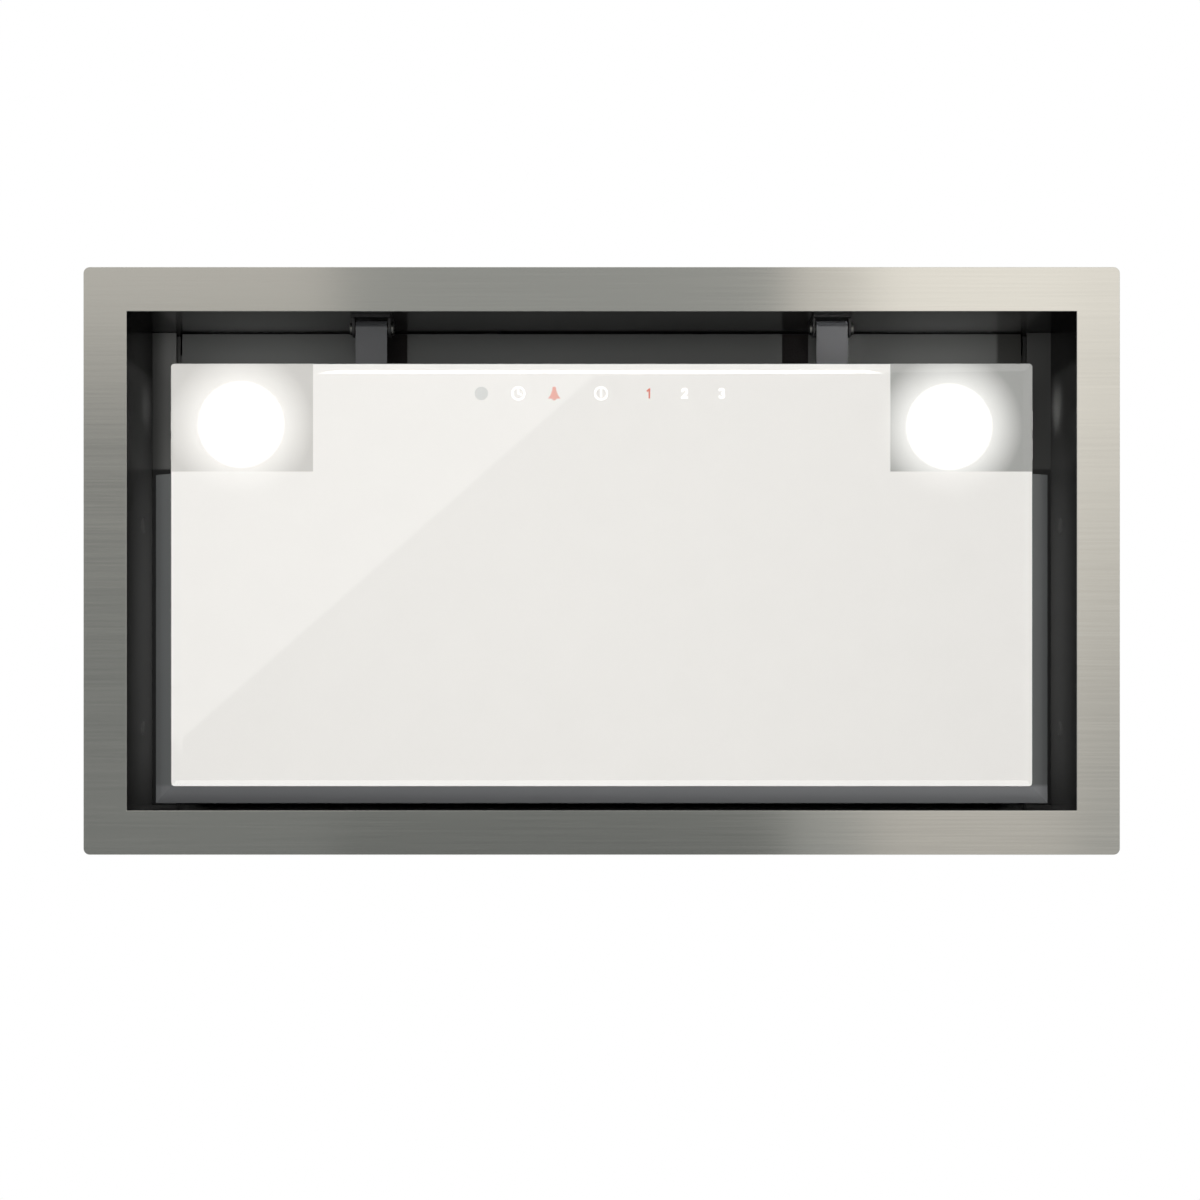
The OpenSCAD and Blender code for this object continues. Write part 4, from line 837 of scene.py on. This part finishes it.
# Small parts outside: plugs in the cabinet screw holes, pressed fields, spot welds and lid screws

def build_plugs():
    meshes = []
    for side in (-1, 1):
        for y in PLUG_Y:
            inner = side * INNER_X
            head, back = inner - side * PLUG_HEAD_T, inner + side * SHEET
            profile = [(0, head), (PLUG_TOP_R, head), (PLUG_HEAD_R, inner), (PLUG_R, inner), (PLUG_R, back),
                       (0, back)]
            meshes.append(turned("plug", profile, lambda u, v, h, y=y: (h, y + u, PLUG_Z + v)))
    new_piece("hole_plugs", joined("hole_plugs", meshes), MATERIALS["casing_paint"], "casing")


def build_pressed_fields():
    """A flat field on each outer wall, pressed outwards with a soft step round it."""
    meshes = []
    for along_x in (True, False):
        half, wall = (INNER_X, INNER_Y) if along_x else (INNER_Y, INNER_X)
        low, high = (FIELD_IN - half, FIELD_Z[0]), (half - FIELD_IN, FIELD_Z[1])
        rings = [(rounded_outline(low, high, FIELD_R), -SHEET / 2)]
        for i in range(FIELD_STEPS + 1):
            turn = i / FIELD_STEPS
            outline = rounded_outline(*inset(low, high, FIELD_EDGE * turn), FIELD_R - FIELD_EDGE * turn)
            rings.append((outline, FIELD_RISE * turn ** 2 * (3 - 2 * turn)))
        points, faces = stacked(rings)
        for side in (-1, 1):
            out = [side * (wall + SHEET + h) for u, v, h in points]
            placed = [(u, d, v) if along_x else (d, u, v) for (u, v, h), d in zip(points, out)]
            meshes.append(mesh_of("field", placed, faces, smooth=True))
    fields = joined("pressed_fields", meshes)
    piece = new_piece("pressed_fields", fields, MATERIALS["casing_paint"], "casing")
    flat_faces_first(piece)


def build_spot_welds():
    """Two rows of flat weld marks on each side wall, where it meets the front and rear walls."""
    meshes = []
    mark = painted("weld_mark", (0.16, 0.16, 0.165), peel=500, roughness=0.4, metallic=0.4)
    for side in (-1, 1):
        for y in (WELD_IN - INNER_Y, INNER_Y - WELD_IN):
            for z in WELD_Z:
                outer = side * (INNER_X + SHEET)
                rim, dish = outer + side * WELD_RISE, outer + side * WELD_RISE * 0.4
                profile = [(0, outer), (WELD_R, outer), (WELD_R * 0.8, rim), (WELD_R * 0.6, dish), (0, dish)]
                meshes.append(turned("weld", profile, lambda u, v, h, y=y, z=z: (h, y + u, z + v)))
    new_piece("spot_welds", joined("spot_welds", meshes), mark, "casing")


def build_lid_screws():
    low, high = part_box("electronics_lid")
    r, top, head = LID_SCREW_R, high.z, LID_SCREW_H
    profile = [(0, top), (r, top), (r, top + head * 0.4), (r * 0.7, top + head), (r * 0.4, top + head),
               (r * 0.35, top + head * 0.3), (0, top + head * 0.3)]
    meshes = []
    for x in (low.x + LID_SCREW_IN, high.x - LID_SCREW_IN):
        for y in (low.y + LID_SCREW_IN, high.y - LID_SCREW_IN):
            meshes.append(turned("screw", profile, lambda u, v, h, x=x, y=y: (x + u, y + v, h)))
    new_piece("lid_screws", joined("lid_screws", meshes), MATERIALS["bright_zinc"], "casing")


# Small trim at the ceiling

def block(name, low, high):
    outline = [(low[0], low[1]), (high[0], low[1]), (high[0], high[1]), (low[0], high[1])]
    return plate(name, outline, low[2], high[2])


def build_ceiling_trim():
    """A lip that narrows the gap in front of the ceiling, and two near-black pads on the ceiling beside the
    hinge arms as painted shade.
    """
    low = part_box("suction_plate")[0]
    front = LIP_GAP - INNER_Y
    lip = block("ceiling_lip", (-LIP_X, front, low.z), (LIP_X, low.y, low.z + LIP_T))
    new_piece("ceiling_lip", lip, MATERIALS["ceiling_paint"], "casing")
    # Painted shade: near-black sheets on the ceiling, set inward of each hinge arm.
    shade_pads = [block("shade_pad", (x0, front, low.z - SHADE_PAD_T), (x1, low.y + SHADE_PAD_L, low.z)) for x0, x1 in SHADE_PAD_X]
    shade_black = moulded("shade_pad_black", (0.007, 0.006, 0.006), roughness=0.9)
    new_piece("arm_shade_pads", joined("arm_shade_pads", shade_pads), shade_black, "casing")


# Stage, light and camera

def build_floor():
    low, high = (-FLOOR_HALF, -FLOOR_HALF, FLOOR_Z - FLOOR_T), (FLOOR_HALF, FLOOR_HALF, FLOOR_Z)
    floor = bpy.data.objects.new("floor", block("floor", low, high))
    bpy.context.collection.objects.link(floor)
    g = Graph("floor_pale")
    path = g.nodes.new("ShaderNodeLightPath")
    pale = g.shade((0.86, 0.86, 0.85), g.noise(2, detail=2), 0.99, 1.01)
    far = g.between(g.from_point((0, 0)), *FLOOR_FADE, 0.30, 1.0)
    g.set(Base_Color=g.blend(path.outputs["Is Diffuse Ray"], pale, (0.25, 0.25, 0.25)), Roughness=0.9)
    g.set(Emission_Color=(1.0, 1.0, 1.0))
    g.set(Emission_Strength=g.math("MULTIPLY", far, path.outputs["Is Camera Ray"]))
    floor.data.materials.append(g.material)


def card_light(g):
    """What the steel flange sees: two soft boxes with a darker gap between, all brighter in front."""
    x, y = g.axis("X"), g.axis("Y")
    front = g.between(y, *CARD_FRONT_Y, 1.0, 0.0)
    slope = g.between(y, *CARD_SLOPE_Y, 1.0, 0.0, smooth=False)
    left = g.between(front, 0, 1, *LEFT_LEVELS)
    gap = g.between(slope, 0, 1, *GAP_LEVELS)
    right = g.between(slope, 0, 1, *RIGHT_LEVELS)
    far_right = g.between(slope, 0, 1, *FAR_LEVELS)
    right = g.math("MULTIPLY_ADD", g.math("SUBTRACT", far_right, right), g.between(x, *CARD_FAR_X), right)
    in_gap = g.between(x, *CARD_GAP_X)
    step = g.math("MULTIPLY", g.between(x, *CARD_STEP_X), 0.5)
    rise = g.math("MULTIPLY", g.between(x, *CARD_RISE_X), 0.5)
    in_right = g.math("ADD", step, rise)
    value = g.math("MULTIPLY_ADD", g.math("SUBTRACT", gap, left), in_gap, left)
    value = g.math("MULTIPLY_ADD", g.math("SUBTRACT", right, value), in_right, value)
    warm = g.between(value, *WARM_LEVELS)
    return value, g.blend(warm, (0.97, 1.0, 0.985), (1.0, 0.955, 0.90))


def card_edge(g):
    """What the glass sees: one straight edge across its front left, and bright strips for its bevels."""
    x, y = g.axis("X"), g.axis("Y")
    along = (EDGE_TO - EDGE_FROM).normalized()
    across = Vector((-along.y, along.x))
    side = g.math("ADD", g.math("MULTIPLY", x, across.x), g.math("MULTIPLY", y, across.y))
    offset = EDGE_FROM.dot(across)
    beyond = g.between(side, offset - EDGE_BLUR, offset + EDGE_BLUR)
    corner = g.math("MULTIPLY", beyond, g.between(y, *EDGE_END_Y, 1.0, 0.0))
    flat = g.between(corner, 0, 1, *EDGE_LEVELS)
    bar_y = g.math("MULTIPLY", g.between(y, *FRONT_BAR_Y[2:], 1.0, 0.0), g.between(y, *FRONT_BAR_Y[:2]))
    bar_x = g.between(g.math("ABSOLUTE", x), *FRONT_BAR_X, FRONT_BAR_LEVEL, 0.0)
    front = g.math("MULTIPLY", bar_y, bar_x)
    right = g.between(x, *RIGHT_STRIP_X, 0.0, RIGHT_STRIP_LEVEL)
    rear = g.between(y, *REAR_STRIP_Y, 0.0, REAR_STRIP_LEVEL)
    return g.math("ADD", g.math("ADD", flat, front), g.math("MAXIMUM", right, rear))


def build_reflection_card():
    """A large card at the camera's height that only reflections see."""
    low, high = (-CARD_HALF, -CARD_HALF, CAMERA.z - CARD_T), (CARD_HALF, CARD_HALF, CAMERA.z)
    card = bpy.data.objects.new("reflection_card", block("card", low, high))
    bpy.context.collection.objects.link(card)
    g = Graph("card_light")
    path = g.nodes.new("ShaderNodeLightPath")
    emission = g.nodes.new("ShaderNodeEmission")
    steel, colour = card_light(g)
    glass = card_edge(g)
    sharp = path.outputs["Is Singular Ray"]
    strength = g.math("MULTIPLY_ADD", g.math("SUBTRACT", glass, steel), sharp, steel)
    g.links.new(g.blend(sharp, colour, (1.0, 0.99, 0.97)), emission.inputs["Color"])
    g.links.new(strength, emission.inputs["Strength"])
    g.links.new(emission.outputs[0], g.nodes["Material Output"].inputs["Surface"])
    card.data.materials.append(g.material)
    card.visible_camera = False
    card.visible_diffuse = False
    card.visible_transmission = False
    card.visible_volume_scatter = False
    card.visible_shadow = False


def build_world(level):
    world = bpy.data.worlds.new("studio")
    world.use_nodes = True
    nodes, links = world.node_tree.nodes, world.node_tree.links
    background = nodes["Background"]
    path = nodes.new("ShaderNodeLightPath")
    seen = nodes.new("ShaderNodeMath")
    seen.operation = "MAXIMUM"
    links.new(path.outputs["Is Camera Ray"], seen.inputs[0])
    links.new(path.outputs["Is Glossy Ray"], seen.inputs[1])
    through = nodes.new("ShaderNodeMath")
    through.operation = "MAXIMUM"
    links.new(seen.outputs[0], through.inputs[0])
    links.new(path.outputs["Is Transmission Ray"], through.inputs[1])
    strength = nodes.new("ShaderNodeMapRange")
    strength.inputs["To Min"].default_value = level
    strength.inputs["To Max"].default_value = 1.0
    links.new(through.outputs[0], strength.inputs["Value"])
    links.new(strength.outputs[0], background.inputs["Strength"])
    background.inputs["Color"].default_value = (1.0, 1.0, 1.0, 1.0)
    bpy.context.scene.world = world


def soft_lamp(name, place, target, size, watts, depth=None):
    """An area lamp that only lights surfaces. Its own shape isn't seen, also not in gloss."""
    light = bpy.data.lights.new(name, "AREA")
    light.shape = "RECTANGLE"
    light.size = size
    light.size_y = depth or size
    light.energy = watts
    lamp = bpy.data.objects.new(name, light)
    lamp.location = place
    lamp.rotation_euler = (Vector(target) - Vector(place)).to_track_quat("-Z", "Y").to_euler()
    lamp.visible_camera = False
    lamp.visible_glossy = False
    lamp.visible_transmission = False
    bpy.context.collection.objects.link(lamp)
    return light


def build_lights():
    build_world(WORLD_LEVEL)
    for name, place, target, size, watts in STUDIO_LAMPS:
        soft_lamp(name, place, target, size, watts)


def build_lamp_spill():
    """Weak light that leaks from the two lamps into the gap round the panel."""
    sides = (-1, 1), ("left", "right")
    for side, name, watts in zip(*sides, FRONT_SPILL_WATTS):
        x, y, z = side * LAMP.x, LAMP.y - FRONT_SPILL_IN, FRONT_SPILL_Z
        width, depth = FRONT_SPILL_SIZE
        soft_lamp(f"spill_front_{name}", (x, y, z), (x, y - 1, z), width, watts, depth)
        x, y, z = side * (GLASS_HIGH.x - SIDE_SPILL_IN), SIDE_SPILL_Y, SIDE_SPILL_Z
        width, depth = SIDE_SPILL_SIZE
        soft_lamp(f"spill_side_{name}", (x, y, z), (x + side, y, z), width, SIDE_SPILL_WATTS, depth)
    for side, name, watts in zip(*sides, GLOW_SPILL_WATTS):
        x, y, z = side * (GLASS_HIGH.x + GLOW_SPILL_OUT), LAMP.y - GLOW_SPILL_IN, GLOW_SPILL_Z
        glow = soft_lamp(f"spill_glow_{name}", (x, y, z), (x + side, y, z), GLOW_SPILL_SIZE, watts)
        glow.spread = GLOW_SPILL_SPREAD
    width, depth = BEAM_SIZE
    above = (BEAM_PLACE.x, BEAM_PLACE.y, 0)
    beam = soft_lamp("beam_right", BEAM_PLACE, above, width, BEAM_WATTS, depth)
    beam.spread = BEAM_SPREAD


def build_camera():
    data = bpy.data.cameras.new("photo_camera")
    data.sensor_width = CAMERA_SENSOR
    data.lens = CAMERA_LENS
    data.shift_y = CAMERA_SHIFT
    data.clip_end = 30.0
    camera = bpy.data.objects.new("photo_camera", data)
    camera.location = CAMERA
    camera.rotation_euler = (math.pi, 0, 0)
    bpy.context.collection.objects.link(camera)
    bpy.context.scene.camera = camera


dress_cad_nodes()
build_glass()
build_opals()
build_symbols()
build_plugs()
build_pressed_fields()
build_spot_welds()
build_lid_screws()
build_ceiling_trim()
build_floor()
build_reflection_card()
build_lights()
build_lamp_spill()
build_camera()
bpy.context.scene.view_settings.view_transform = "Standard"
